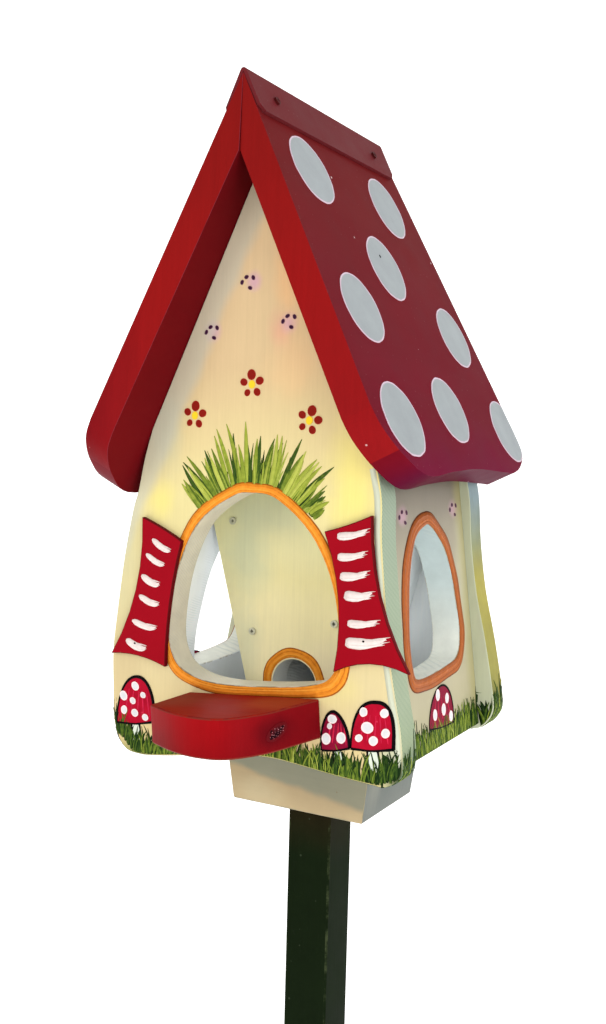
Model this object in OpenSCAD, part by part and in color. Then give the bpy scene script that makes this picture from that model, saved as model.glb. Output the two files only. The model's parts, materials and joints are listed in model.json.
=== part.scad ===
// Wooden bird feeder shaped like a little toadstool house, on a square post.
// The origin is the centre of the post's foot; +Y runs from the front to the back.

/* [Post] */
// Width and depth of the square post
post_w = 47; // [36:1:60]
// Height of the base block's underside above the ground
post_h = 850; // [300:10:1400]

/* [Base block] */
// Width of the block at its foot
block_w = 143; // [110:1:180]
// Depth of the block at its foot
block_d = 113; // [80:1:130]
// Height of the block, from its foot to the floor board
block_h = 77; // [62:1:90]
// How far the block's left and right sides lean out between foot and top
block_side_flare = 10.5; // [1:0.5:16]
// How far its front and back lean out
block_end_flare = 4; // [1:0.5:10]
// Chamfer round the block's foot
block_chamfer = 1; // [0.5:0.5:6]
// How far the block's middle stands behind the post's
block_shift = 4.5; // [0:0.5:8]
// Depth of the socket that takes the post
socket_depth = 45; // [20:1:55]
// Play between the post and each side of its socket
socket_play = 0.3; // [0.1:0.1:1]

/* [House] */
// Thickness of the wall boards
wall_t = 28; // [18:1:34]
// Depth of the house over its front and back walls
house_d = 228; // [180:1:280]
// How far the back of the house overhangs the block's back foot
back_overhang = 24; // [10:1:40]
// Height of the roof's inner apex above the block's foot
gable_h = 600; // [500:1:720]
// Pitch of both roof slopes, in degrees
pitch = 64.4; // [58:0.2:68]
// Width of the front and back walls where they leave the roof
waist_w = 248; // [220:1:290]
// Width of the front wall at its widest, near the foot
foot_w = 308; // [250:1:340]
// How much wider the back wall is there
back_extra_w = 9; // [0:1:16]
// Height of the lowest corner of the front wall above the block's foot
skirt_h = 58; // [40:1:62]
// Rise of the front wall's arched lower edge
skirt_rise = 18; // [5:1:24]
// How far the side walls stand inside the edge of the front wall at the eaves
side_recess = 11.3; // [4:0.1:20]
// How far they stand inside it at the foot
side_foot_recess = 9; // [4:0.5:20]
// Gap between the base block's top and the side walls' lower edges
side_rise = 7; // [1:0.5:12]
// Gap left between boards that are glued or screwed together
fit = 0.3; // [0.1:0.1:0.5]

/* [Floor] */
// Thickness of the floor board
floor_t = 18; // [12:1:24]

/* [Openings] */
// Width of the egg-shaped front opening
door_w = 177; // [140:1:190]
// Height of the front opening
door_h = 174; // [140:1:190]
// Height of the front opening's sill above the block's foot
door_sill_h = 137; // [118:1:150]
// Width of each side window
window_w = 118; // [80:1:124]
// Height of each side window
window_h = 134; // [90:1:150]
// Height of the right window's sill above the block's foot
window_sill_h = 151; // [130:1:160]
// How far the right window stands in front of the middle of the house
window_forward = 5; // [0:1:10]
// How far the left window stands behind the right one
left_window_shift = 20; // [0:1:20]
// How much lower the left window sits
left_window_drop = 16; // [0:1:24]

/* [Hopper] */
// Thickness of the hopper's boards
hopper_t = 28; // [18:1:30]
// Distance from the front face of the house to the hopper's front board
hopper_y = 72; // [60:1:90]
// Width of the hopper's front board where it stands on the floor
hopper_foot_w = 80; // [70:1:100]
// Lean of the hopper's sloping sides from upright, in degrees
hopper_lean = 15.3; // [10:0.1:18]
// Width of the seed mouth at the hopper's foot
mouth_w = 47; // [30:1:50]
// Height of the seed mouth above the floor
mouth_h = 57; // [30:1:70]
// How far the mouth stands to the right of the hopper's middle
mouth_shift = 5; // [0:1:8]

/* [Roof] */
// Thickness of the roof boards
roof_t = 28; // [18:1:32]
// Length of the roof along the ridge
ridge_l = 265; // [240:1:340]
// How far the ridge runs out in front of the house
front_eave = 32; // [10:1:50]
// Length of the right roof board down the slope
slope_l = 369; // [340:1:400]
// How much longer the left roof board is
left_extra_l = 16; // [0:1:30]
// How far the right board's front edge leans forward at the foot of the slope
front_flare = 15; // [0:1:40]
// How much further the left board's front edge leans forward there
left_extra_flare = 12; // [0:1:20]
// How far the back edge leans back at the foot of the slope
back_flare = 62; // [10:1:80]
// Depth of the rounding at the lower corners
corner_r = 62; // [30:1:80]

/* [Ridge strip] */
// Thickness of the strip that covers the ridge
strip_t = 3; // [1:0.5:4]
// Width of the strip on each slope
strip_w = 39; // [30:1:60]
// Size of the cut-off corners at the strip's ends
strip_clip = 7; // [0.5:0.5:12]
// Set-back of each strip screw from the end of the strip
strip_screw_inset = 36; // [20:1:60]

/* [Shutters] */
// Thickness of the shutters
shutter_t = 5; // [3:0.5:8]

/* [Perch] */
// Thickness of the perch shelf
perch_t = 34; // [18:1:40]
// How far the shelf stands out from the front wall
perch_d = 95; // [70:1:120]
// Width of the shelf along the wall
perch_w = 135; // [100:1:170]
// Height of the middle of the shelf's top above the block's foot
perch_h = 131; // [110:1:134]
// Slant of the shelf towards its left end, in degrees
perch_slant = 5; // [0:0.5:6]

/* [Screws] */
// Diameter of the screw heads
screw_head_d = 7; // [5:0.5:9]
// Height of the screw heads
screw_head_h = 2; // [1:0.5:3]
// Diameter of the screw shanks
screw_shank_d = 3.5; // [2.5:0.5:4.5]
// Length of the shanks in the ridge strip's screws
strip_shank_l = 8; // [5:0.5:8]
// Length of the shanks in the hopper's screws
hopper_shank_l = 45; // [35:1:50]
// Play round the shanks
screw_play = 0.3; // [0.2:0.1:0.6]

/* [Hidden] */

$fn = 48;
curve_steps = 5;
slope = tan(pitch);
// Distance from the front face of the house to the post's axis
post_set_back = house_d - back_overhang - block_d / 2 - block_shift;
// Vertical size of a thickness or gap that is measured square to the roof
function plumb(t) = t / cos(pitch);

// Height of the underside of the roof at x, and x at a height on it
function roof_under(x) = gable_h - slope * abs(x);
ridge_h = gable_h + plumb(roof_t);
wall_apex_h = gable_h - plumb(fit);
eave_h = roof_under(waist_w / 2);
floor_top_h = block_h + floor_t;

// Outer face of a side wall: it leans out from the eaves to the foot
side_top_x = waist_w / 2 - side_recess;
side_foot_x = foot_w / 2 - side_foot_recess;
side_lean = atan((side_foot_x - side_top_x) / (eave_h - block_h));
function side_x(z) = side_top_x + (eave_h - z) * tan(side_lean);
side_inner = wall_t / cos(side_lean);
// Where a face that lies this far inside the side wall's outer face meets the roof
function side_roof_x(inset) =
    (side_top_x - inset + (eave_h - wall_apex_h) * tan(side_lean))
    / (1 - slope * tan(side_lean));
function under_roof(x) = [x, wall_apex_h - slope * abs(x)];

// Smooth curve through a list of points
function through(a, b, c, d, t) =
    0.5 * (2 * b + (c - a) * t + (2 * a - 5 * b + 4 * c - d) * t * t
           + (3 * b - a - 3 * c + d) * t * t * t);
function open_curve(p) = [
    for (i = [0:len(p) - 2], k = [0:curve_steps - 1])
        through(p[max(i - 1, 0)], p[i], p[i + 1], p[min(i + 2, len(p) - 1)],
                k / curve_steps),
    p[len(p) - 1]
];
function reversed(p) = [for (i = [len(p) - 1:-1:0]) p[i]];
function loop_curve(p) = let(n = len(p)) [
    for (i = [0:n - 1], k = [0:curve_steps - 1])
        through(p[(i + n - 1) % n], p[i], p[(i + 1) % n], p[(i + 2) % n],
                k / curve_steps)
];

module in_house() translate([0, -post_set_back, post_h]) children();

// Board cut to an outline in X and Z, its front face at y
module upright(y, t) translate([0, y + t, 0]) rotate([90, 0, 0]) linear_extrude(t) children();

// ---- post and base block ----

module post() color("darkgreen")
    translate([-post_w / 2, -post_w / 2, 0])
        cube([post_w, post_w, post_h + socket_depth - socket_play]);

// Outline of the block seen square to one face: leaning sides and a chamfered foot
module block_profile(w, flare) {
    top = w / 2 + flare;
    foot = w / 2;
    polygon([[-foot + block_chamfer, 0], [foot - block_chamfer, 0],
             [foot, block_chamfer], [top, block_h - fit],
             [-top, block_h - fit], [-foot, block_chamfer]]);
}

module base_block() color("ivory") translate([0, 0, post_h])
    difference() {
        socket_w = post_w + 2 * socket_play;
        span = block_w + block_d;
        translate([0, block_shift, 0]) intersection() {
            upright(-span / 2, span) block_profile(block_w, block_side_flare);
            rotate(90) upright(-span / 2, span) block_profile(block_d, block_end_flare);
        }
        translate([-socket_w / 2, -socket_w / 2, -1]) cube([socket_w, socket_w, socket_depth + 1]);
    }

// ---- walls ----

// Points of the walls' hand-sawn edges: share of the flare, share of the height to the eaves
straight_side = [[0, 0.915], [0.05, 0.812], [0.09, 0.744], [0.24, 0.59], [0.45, 0.41],
                 [0.68, 0.284], [0.82, 0.212], [0.9, 0.12], [0.79, 0.074], [0.37, 0.044]];
bulged_side = [[-0.13, 0.993], [0.1, 0.883], [0.3, 0.815], [0.6, 0.662],
               [0.86, 0.47], [1, 0.343], [0.97, 0.212], [0.9, 0.092],
               [0.5, 0.015], [-0.13, 0]];
back_side = [[0.04, 0.89], [0.17, 0.7], [0.37, 0.52], [0.68, 0.345], [0.94, 0.17],
             [1, 0.08], [0.73, 0.02], [0.36, 0]];
// Points of the arched lower edge: share of the foot's half width, share of the rise
skirt = [[0.79, 0.7], [0.57, 0.81], [0.35, 0.98], [0.14, 1.08], [-0.13, 0.87],
         [-0.4, 0.45], [-0.63, 0.12]];
// Where the walls' edges leave the roof, measured in from the waist
shoulder_in = 12;

function edge_point(side, p, widest, lowest) =
    [side * (waist_w / 2 + p[0] * (widest - waist_w) / 2), lowest + p[1] * (eave_h - lowest)];
function shoulder(side) = under_roof(side * (waist_w / 2 - shoulder_in));

module front_outline() polygon(concat(
    [[0, wall_apex_h]],
    open_curve(concat(
        [shoulder(1)],
        [for (p = straight_side) edge_point(1, p, foot_w, skirt_h)],
        [for (p = skirt) [p[0] * foot_w / 2, skirt_h + p[1] * skirt_rise]],
        [for (p = reversed(bulged_side)) edge_point(-1, p, foot_w, skirt_h)],
        [shoulder(-1)]))));

// The back wall is the same on both sides and stands level on the base block
back_foot_h = block_h + fit;
function back_edge(side) = open_curve(concat([shoulder(side)],
    [for (p = back_side) edge_point(side, p, foot_w + back_extra_w, back_foot_h)]));
module back_outline() polygon(concat(
    [[0, wall_apex_h]], back_edge(1), reversed(back_edge(-1))));

// Egg shape of the front opening: shares of its half width and of its height
door_egg = [[-1, 0.276], [-0.905, 0.57], [-0.655, 0.83], [-0.25, 0.977], [0, 1],
            [0.27, 0.974], [0.655, 0.816], [0.905, 0.58], [1, 0.305],
            [0.95, 0.144], [0.745, 0.069], [0.225, 0.023], [-0.395, 0],
            [-0.77, 0.035], [-0.95, 0.12]];
module door_outline() polygon(loop_curve(
    [for (p = door_egg) [p[0] * door_w / 2, door_sill_h + p[1] * door_h]]));

module front_wall() color("khaki") in_house() difference() {
    upright(0, wall_t) front_outline();
    upright(-1, wall_t + 2) door_outline();
}

module back_wall() color("khaki") in_house()
    upright(house_d - wall_t, wall_t) back_outline();

// Slanted egg shape of the side windows, front edge first
window_egg = [[-0.05, 1], [-0.49, 0.92], [-0.8, 0.69], [-0.95, 0.42], [-1, 0.23],
              [-0.96, 0.08], [-0.84, 0.01], [-0.31, 0], [0.41, 0.02],
              [0.84, 0.06], [1, 0.2], [0.97, 0.38], [0.87, 0.6], [0.68, 0.8],
              [0.39, 0.92], [0.16, 0.985]];

// Cross-section of the right side wall, its top cut to the roof
side_foot_h = block_h + side_rise;
module side_profile() polygon([
    [side_x(side_foot_h), side_foot_h], under_roof(side_roof_x(0)),
    under_roof(side_roof_x(side_inner)), [side_x(side_foot_h) - side_inner, side_foot_h]]);

// Side wall with its window's middle at y and sill at z, cut square to the leaning board
module side_wall(y, z) difference() {
    spare = 4;
    upright(wall_t + fit, house_d - 2 * wall_t - 2 * fit) side_profile();
    translate([side_x(z), y, z]) rotate([0, -side_lean, 0]) rotate([90, 0, 90])
        translate([0, 0, -wall_t - spare]) linear_extrude(wall_t + 2 * spare)
            polygon(loop_curve([for (p = window_egg) [p[0] * window_w / 2, p[1] * window_h]]));
}

window_y = house_d / 2 - window_forward;
module right_side_wall() color("khaki") in_house() side_wall(window_y, window_sill_h);
module left_side_wall() color("khaki") in_house() mirror([1, 0, 0])
    side_wall(window_y + left_window_shift, window_sill_h - left_window_drop);

module floor_board() color("lightsteelblue") in_house() {
    half_foot = side_x(block_h) - side_inner - fit;
    half_top = side_x(floor_top_h) - side_inner - fit;
    upright(wall_t + fit, house_d - 2 * wall_t - 2 * fit)
        polygon([[-half_foot, block_h], [half_foot, block_h],
                 [half_top, floor_top_h], [-half_top, floor_top_h]]);
}

// ---- seed hopper ----

hopper_foot_h = floor_top_h + fit;
hopper_slope = tan(hopper_lean);
hopper_side_w = hopper_t / cos(hopper_lean);
function hopper_x(z) = hopper_foot_w / 2 + (z - hopper_foot_h) * hopper_slope;
// Height at which the sloping sides reach the side walls
hopper_shoulder_h = let(reach = side_top_x + eave_h * tan(side_lean) - side_inner - fit)
    (reach - hopper_foot_w / 2 + hopper_foot_h * hopper_slope)
    / (hopper_slope + tan(side_lean));

module hopper_front_board() color("palegoldenrod") in_house() difference() {
    half_foot = hopper_foot_w / 2;
    shoulder_x = hopper_x(hopper_shoulder_h);
    eave_x = side_roof_x(side_inner + fit);
    upright(hopper_y, hopper_t) polygon([
        [0, wall_apex_h], under_roof(-eave_x),
        [-shoulder_x, hopper_shoulder_h], [-half_foot, hopper_foot_h],
        [half_foot, hopper_foot_h], [shoulder_x, hopper_shoulder_h],
        under_roof(eave_x)]);
    // arched seed mouth
    mouth_spring_h = hopper_foot_h + mouth_h - mouth_w / 2;
    upright(hopper_y - 1, hopper_t + 2) translate([mouth_shift, 0]) {
        translate([0, mouth_spring_h]) circle(d = mouth_w);
        translate([-mouth_w / 2, hopper_foot_h - 1])
            square([mouth_w, mouth_spring_h - hopper_foot_h + 1]);
    }
    for (p = hopper_screws) hopper_screw_bore(p);
}

module hopper_side(screws) difference() {
    foot_x = hopper_foot_w / 2;
    // the board's upper end is cut upright to lie along the side wall
    inner_shoulder_h = hopper_shoulder_h
        + hopper_side_w / (hopper_slope + tan(side_lean));
    upright(hopper_y + hopper_t + fit,
            house_d - wall_t - hopper_y - hopper_t - 2 * fit)
        polygon([[foot_x, hopper_foot_h],
                 [hopper_x(hopper_shoulder_h), hopper_shoulder_h],
                 [hopper_x(inner_shoulder_h) - hopper_side_w, inner_shoulder_h],
                 [foot_x - hopper_side_w, hopper_foot_h]]);
    for (p = screws) hopper_screw_bore([1, p[1], p[2]]);
}
module hopper_side_left() color("lightsteelblue") in_house()
    mirror([1, 0, 0]) hopper_side([hopper_screws[0], hopper_screws[2]]);
module hopper_side_right() color("lightsteelblue") in_house()
    hopper_side([hopper_screws[1], hopper_screws[3]]);

// ---- roof ----

// Points round a roof board's lower corners, as shares of corner_r in from the board's end
// and up from its lower edge
front_corner = [[0.13, 0.68], [0.45, 0.3], [1, 0]];
back_corner = [[1.4, 0.016], [1, 0], [0.5, 0.12], [0.12, 0.4]];
// The lower edge is sawn slightly hollow: share of corner_r from its middle, depth
hollow_edge = [[-0.8, 3], [0.2, 5]];

// Outline of a roof board of length l: along the ridge, then down the slope
module roof_outline(l, flare) {
    front = -front_eave - flare;
    back = ridge_l - front_eave + back_flare;
    mid = (front + back) / 2;
    // the straight edges end where the corners begin
    share = (l - corner_r) / l;
    polygon(concat(
        [[ridge_l - front_eave, 0], [-front_eave, 0]],
        open_curve(concat(
            [[-front_eave - flare * share, l - corner_r]],
            [for (p = front_corner) [front + p[0] * corner_r, l - p[1] * corner_r]],
            [for (p = hollow_edge) [mid + p[0] * corner_r, l - p[1]]],
            [for (p = back_corner) [back - p[0] * corner_r, l - p[1] * corner_r]],
            [[ridge_l - front_eave + back_flare * share, l - corner_r]]))));
}

// Frame of the right slope: X along the roof's outward normal, Z back up the slope
module on_slope() translate([0, 0, ridge_h]) rotate([0, pitch - 90, 0]) children();

module roof_board(l, flare) difference() {
    on_slope() translate([-roof_t, 0, 0]) rotate([90, 0, 90])
        linear_extrude(roof_t) mirror([0, 1]) roof_outline(l, flare);
    // mitre at the ridge
    translate([fit / 2 - l, -l, gable_h - l]) cube([l, 3 * l, 2 * l]);
    for (y = strip_screw_y) on_slope() strip_screw_bore(y);
}
module roof_board_right() color("firebrick") in_house() roof_board(slope_l, front_flare);
module roof_board_left() color("firebrick") in_house() mirror([1, 0, 0])
    roof_board(slope_l + left_extra_l, front_flare + left_extra_flare);

// Strip bent over the ridge, with a round back
strip_h = ridge_h + plumb(fit);
clip_w = strip_clip * sqrt(2);
module strip_profile() {
    top = [0, strip_h];
    edge = strip_w * [cos(pitch), -sin(pitch)];
    out = strip_t * [sin(pitch), cos(pitch)];
    flip = [[-1, 0], [0, 1]];
    polygon(concat(
        [top, top + edge, top + edge + out],
        [for (i = [0:8]) let(a = 90 - pitch + i * pitch / 4) top + strip_t * [cos(a), sin(a)]],
        [top + flip * (edge + out), top + flip * edge]));
}
module ridge_strip() color("maroon") in_house() difference() {
    upright(-front_eave, ridge_l) strip_profile();
    for (m = [0, 1]) mirror([m, 0, 0]) on_slope() {
        for (y = strip_screw_y) strip_screw_bore(y);
        // cut-off lower corners
        for (y = [-front_eave, ridge_l - front_eave]) translate([0, y, -strip_w])
            rotate([45, 0, 0]) cube([4 * strip_t, clip_w, clip_w], center = true);
    }
}

// ---- screws ----

// Screw along +X with its head's underside at x = 0
module screw(shank_l) rotate([0, 90, 0]) {
    difference() {
        cylinder(d = screw_head_d, h = screw_head_h);
        translate([-0.5, -2, screw_head_h - 1]) cube([1, 4, 2]);
        translate([-2, -0.5, screw_head_h - 1]) cube([4, 1, 2]);
    }
    translate([0, 0, -shank_l]) cylinder(d = screw_shank_d, h = shank_l);
}
module screw_bore(shank_l) rotate([0, 90, 0]) translate([0, 0, -shank_l - 1])
    cylinder(d = screw_shank_d + 2 * screw_play, h = shank_l + 2);

// Strip screws stand square to the slope, half way down the strip
strip_screw_y = [-front_eave + strip_screw_inset, ridge_l - front_eave - strip_screw_inset];
module at_strip_screw(y) translate([strip_t + 2 * fit, y, -strip_w / 2]) children();
module strip_screw_bore(y) at_strip_screw(y) screw_bore(strip_shank_l);
module strip_screw(m, y) color("saddlebrown") in_house() mirror([m, 0, 0])
    on_slope() at_strip_screw(y) screw(strip_shank_l);
module ridge_screw_front_left() strip_screw(1, strip_screw_y[0]);
module ridge_screw_front_right() strip_screw(0, strip_screw_y[0]);
module ridge_screw_back_left() strip_screw(1, strip_screw_y[1]);
module ridge_screw_back_right() strip_screw(0, strip_screw_y[1]);

// Hopper screws run through the front board into the ends of the sloping sides. Each one:
// side, height above the hopper's foot, distance in from its sloping edge as a share of a side's
hopper_screws = [[-1, 79, 0.69], [1, 95, 0.66], [-1, 184, 0.82], [1, 184, 0.82]];
module at_hopper_screw(p) {
    z = hopper_foot_h + p[1];
    translate([p[0] * (hopper_x(z) - p[2] * hopper_side_w), hopper_y - fit, z])
        rotate(-90) children();
}
module hopper_screw_bore(p) at_hopper_screw(p) screw_bore(hopper_shank_l);
module hopper_screw(p) color("silver") in_house() at_hopper_screw(p) screw(hopper_shank_l);
module hopper_screw_lower_left() hopper_screw(hopper_screws[0]);
module hopper_screw_lower_right() hopper_screw(hopper_screws[1]);
module hopper_screw_upper_left() hopper_screw(hopper_screws[2]);
module hopper_screw_upper_right() hopper_screw(hopper_screws[3]);

// ---- shutters and perch ----

// Shutter with hollow sides between its four corners
function hollow(a, b, dip) =
    let(n = [b[1] - a[1], a[0] - b[0]] / norm(b - a))
    [for (k = [0:5]) let(t = k / 6) a + (b - a) * t + n * dip * 4 * t * (1 - t)];
module shutter(corners, dips) color("firebrick") in_house()
    upright(-fit - shutter_t, shutter_t) translate([0, door_sill_h])
        polygon([for (i = [0:3]) each hollow(corners[i], corners[(i + 1) % 4], dips[i])]);

// Corners go round clockwise from the top left: x from the door's middle, z from its sill;
// then the dip of each side, negative where it bulges
module shutter_left() shutter([[-118, 147], [-73, 127], [-89, 9], [-152, 15]], [-1, 4, 4, 11]);
module shutter_right() shutter([[74, 145], [118, 161], [156, 32], [86, 26]], [1, 10, 8, 9]);

// Points of the shelf's edge: share of its width, share of its depth
perch_outline = [[-0.475, 0.63], [-0.21, 0.86], [0.03, 0.99], [0.25, 0.98],
                 [0.41, 0.7], [0.48, 0.32], [0.53, 0]];
module perch_shelf() color("firebrick") in_house()
    translate([0, -fit, perch_h]) rotate([0, -perch_slant, 0])
        translate([0, 0, -perch_t]) linear_extrude(perch_t)
            polygon(concat([[-0.475 * perch_w, 0]],
                open_curve([for (p = perch_outline) [p[0] * perch_w, -p[1] * perch_d]])));

post();
base_block();
floor_board();
front_wall();
back_wall();
left_side_wall();
right_side_wall();
hopper_front_board();
hopper_side_left();
hopper_side_right();
roof_board_left();
roof_board_right();
ridge_strip();
ridge_screw_front_left();
ridge_screw_front_right();
ridge_screw_back_left();
ridge_screw_back_right();
shutter_left();
shutter_right();
perch_shelf();
hopper_screw_upper_left();
hopper_screw_upper_right();
hopper_screw_lower_left();
hopper_screw_lower_right();
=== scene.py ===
import json
import math

import bmesh
import bpy
from mathutils import Matrix, Vector
from mathutils.bvhtree import BVHTree
from mathutils.geometry import intersect_point_line


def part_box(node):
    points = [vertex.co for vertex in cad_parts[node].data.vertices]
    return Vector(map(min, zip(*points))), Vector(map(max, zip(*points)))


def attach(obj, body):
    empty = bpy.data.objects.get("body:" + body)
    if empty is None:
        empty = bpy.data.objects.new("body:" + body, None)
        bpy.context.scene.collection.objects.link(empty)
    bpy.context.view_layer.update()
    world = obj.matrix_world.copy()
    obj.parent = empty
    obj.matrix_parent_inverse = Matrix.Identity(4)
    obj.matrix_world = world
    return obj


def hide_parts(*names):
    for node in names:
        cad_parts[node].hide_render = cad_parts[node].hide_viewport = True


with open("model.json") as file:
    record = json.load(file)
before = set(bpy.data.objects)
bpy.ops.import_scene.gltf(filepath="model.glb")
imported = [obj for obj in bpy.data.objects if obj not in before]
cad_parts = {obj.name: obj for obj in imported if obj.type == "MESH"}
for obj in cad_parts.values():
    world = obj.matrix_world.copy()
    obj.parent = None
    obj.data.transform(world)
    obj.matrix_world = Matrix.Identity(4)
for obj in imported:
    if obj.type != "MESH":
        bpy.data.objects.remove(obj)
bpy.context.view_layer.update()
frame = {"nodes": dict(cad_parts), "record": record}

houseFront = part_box("front_wall")[0].y   # front face of the house
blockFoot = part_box("base_block")[0].z    # underside of the base block
mm = 0.001
print("frame loaded,", len(frame["nodes"]), "nodes")


def inHouse(x, y, z):
    # a place in millimetres from the house's middle, front face and block foot
    return Vector((x * mm, houseFront + y * mm, blockFoot + z * mm))


def rgb(card):
    # a paint's colour card, 0 to 255, as levels of light
    shares = (value / 255 for value in card)
    return (*(v / 12.92 if v <= 0.04045 else ((v + 0.055) / 1.055) ** 2.4 for v in shares), 1.0)


def addObject(name, data):
    added = bpy.data.objects.new(name, data)
    bpy.context.scene.collection.objects.link(added)
    return added


def slotOf(node):
    return next(p["material_slot"] for p in frame["record"]["subparts"] if p["node"] == node)


# nodes, for materials and for geometry
class Graph:
    def __init__(self, tree):
        self.tree = tree

    def add(self, kind, inputs=None, **settings):
        node = self.tree.nodes.new(kind)
        for name, value in settings.items():
            setattr(node, name, value)
        for name, value in (inputs or {}).items():
            self.feed(self.socket(node.inputs, name), value)
        return node

    def socket(self, sockets, name):
        if isinstance(name, int):
            return sockets[name]
        return next(s for s in sockets if s.name == name and s.enabled)

    def feed(self, socket, value):
        if isinstance(value, bpy.types.Node):
            value = next(s for s in value.outputs if s.enabled)
        if isinstance(value, bpy.types.NodeSocket):
            self.tree.links.new(value, socket)
        else:
            socket.default_value = value

    def out(self, node, name):
        return self.socket(node.outputs, name)

    def math(self, operation, a, b=0.0, clamp=False):
        return self.add("ShaderNodeMath", {0: a, 1: b}, operation=operation, use_clamp=clamp)

    def plus(self, a, b):
        return self.math("ADD", a, b)

    def minus(self, a, b):
        return self.math("SUBTRACT", a, b)

    def times(self, a, b):
        return self.math("MULTIPLY", a, b)

    def vector(self, operation, a, b=(0, 0, 0)):
        return self.add("ShaderNodeVectorMath", {0: a, 1: b}, operation=operation)

    def split(self, vector):
        return self.add("ShaderNodeSeparateXYZ", {0: vector}).outputs

    def combine(self, x, y, z):
        return self.add("ShaderNodeCombineXYZ", {0: x, 1: y, 2: z})

    def noise(self, vector, scale=1.0, detail=3.0, roughness=0.55, distortion=0.0):
        node = self.add("ShaderNodeTexNoise", {"Vector": vector, "Scale": scale, "Detail": detail,
                                               "Roughness": roughness, "Distortion": distortion})
        return self.out(node, "Fac")

    def wander(self, vector, scale, amount):
        # drifts about nought over the surface
        return self.times(self.minus(self.noise(vector, scale), 0.5), amount)

    def remap(self, value, low, high, toLow=0.0, toHigh=1.0, smooth=True):
        node = self.add("ShaderNodeMapRange",
                        {"Value": value, "From Min": low, "From Max": high,
                         "To Min": toLow, "To Max": toHigh},
                        interpolation_type="SMOOTHSTEP" if smooth else "LINEAR")
        return self.out(node, "Result")

    def mix(self, factor, a, b, blend="MIX"):
        node = self.add("ShaderNodeMix", {}, data_type="RGBA", blend_type=blend)
        for name, value in (("Factor", factor), ("A", a), ("B", b)):
            self.feed(self.socket(node.inputs, name), value)
        return self.out(node, "Result")

    def shade(self, colour, value):
        grey = self.add("ShaderNodeCombineColor", {0: value, 1: value, 2: value})
        return self.mix(1.0, colour, grey, "MULTIPLY")

    def ramp(self, factor, stops):
        node = self.add("ShaderNodeValToRGB", {"Fac": factor})
        elements = node.color_ramp.elements
        while len(elements) < len(stops):
            elements.new(0.5)
        for element, (position, card) in zip(elements, stops):
            element.position = position
            element.color = rgb(card)
        return self.out(node, "Color")

    def use(self, name, **inputs):
        node = self.add("ShaderNodeGroup", node_tree=groups[name])
        for label, value in inputs.items():
            self.feed(node.inputs[label], value)
        return node.outputs


socketKinds = {"Geometry": "Geometry", "Material": "Material",   # all others are floats
               **dict.fromkeys(("Vector", "Centre", "Spread", "Stretch"), "Vector"),
               **dict.fromkeys(("Count", "Sides", "Rings", "Seed"), "Int")}


def newGroup(name, kind, inputs, outputs):
    tree = bpy.data.node_groups.new(name, kind)
    for direction, labels in (("INPUT", inputs), ("OUTPUT", outputs)):
        for label in labels:
            tree.interface.new_socket(name=label, in_out=direction,
                                      socket_type="NodeSocket" + socketKinds.get(label, "Float"))
    start, end = tree.nodes.new("NodeGroupInput"), tree.nodes.new("NodeGroupOutput")
    return Graph(tree), start.outputs, end.inputs


def paintGroup(name, inputs, outputs=("Mask",)):
    return newGroup(name, "ShaderNodeTree", ("Vector",) + inputs, outputs)


# soft cloud of colour round a centre, for airbrushed paint and for painted shade
def makePaintAndShadeCloud():
    graph, start, end = paintGroup("paint and shade cloud", ("Centre", "Spread", "Raggedness"))
    offset = graph.vector("SUBTRACT", start["Vector"], start["Centre"])
    scaled = graph.vector("DIVIDE", offset, start["Spread"])
    distance = graph.out(graph.vector("LENGTH", scaled), "Value")
    ragged = graph.wander(start["Vector"], 22.0, start["Raggedness"])
    graph.feed(end["Mask"], graph.remap(graph.plus(distance, ragged), 1.0, 0.15))
    return graph.tree


# long soft streaks of grain that show through the paint
def makeWoodGrain():
    graph, start, end = paintGroup("wood grain", ("Stretch", "Contrast"), ("Tone", "Height"))
    stretched = graph.vector("MULTIPLY", start["Vector"], start["Stretch"])
    broad = graph.noise(stretched, 1.0, 4.0, 0.6, 0.4)
    fine = graph.noise(stretched, 3.7, 3.0, 0.7)
    height = graph.plus(graph.times(broad, 0.6), graph.times(fine, 0.4))
    swing = graph.times(graph.minus(height, 0.5), start["Contrast"])
    graph.feed(end["Tone"], graph.plus(swing, 1.0))
    graph.feed(end["Height"], height)
    return graph.tree


# slanting lines that a saw leaves, in patches
def makeSawMarks():
    graph, start, end = paintGroup("saw marks", ("Spacing", "Slant", "Coverage"))
    parts = graph.split(start["Vector"])
    slid = graph.times(graph.plus(parts[0], parts[1]), start["Slant"])
    wander = graph.times(graph.noise(start["Vector"], 30.0, 2.0), 0.004)
    line = graph.plus(graph.plus(parts[2], slid), wander)
    wave = graph.math("SINE", graph.math("DIVIDE", graph.times(line, math.tau), start["Spacing"]))
    patch = graph.noise(start["Vector"], 16.0, 3.0)
    edge = graph.minus(1.0, start["Coverage"])
    shown = graph.remap(graph.minus(patch, edge), -0.08, 0.08)
    graph.feed(end["Mask"], graph.times(graph.remap(wave, 0.1, 0.9), shown))
    return graph.tree


# small brush marks and orange peel of the paint film
def makePaintFilm():
    graph, start, end = paintGroup("paint film", ("Stretch",), ("Height", "Sheen"))
    brushed = graph.noise(graph.vector("MULTIPLY", start["Vector"], start["Stretch"]), 1.0, 3.0, 0.6)
    peel = graph.noise(start["Vector"], 420.0, 2.0)
    graph.feed(end["Height"], graph.plus(graph.times(brushed, 0.7), graph.times(peel, 0.3)))
    graph.feed(end["Sheen"], graph.minus(graph.noise(start["Vector"], 26.0, 4.0), 0.5))
    return graph.tree


# rubbed arrises, from the board's own edge attribute
def makeEdgeWear():
    graph, start, end = paintGroup("edge wear", ("Edge", "Amount"))
    rub = graph.noise(start["Vector"], 55.0, 5.0, 0.7)
    level = graph.minus(1.0, start["Amount"])
    graph.feed(end["Mask"], graph.times(graph.remap(graph.minus(rub, level), -0.12, 0.12),
                                        start["Edge"]))
    return graph.tree


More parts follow.
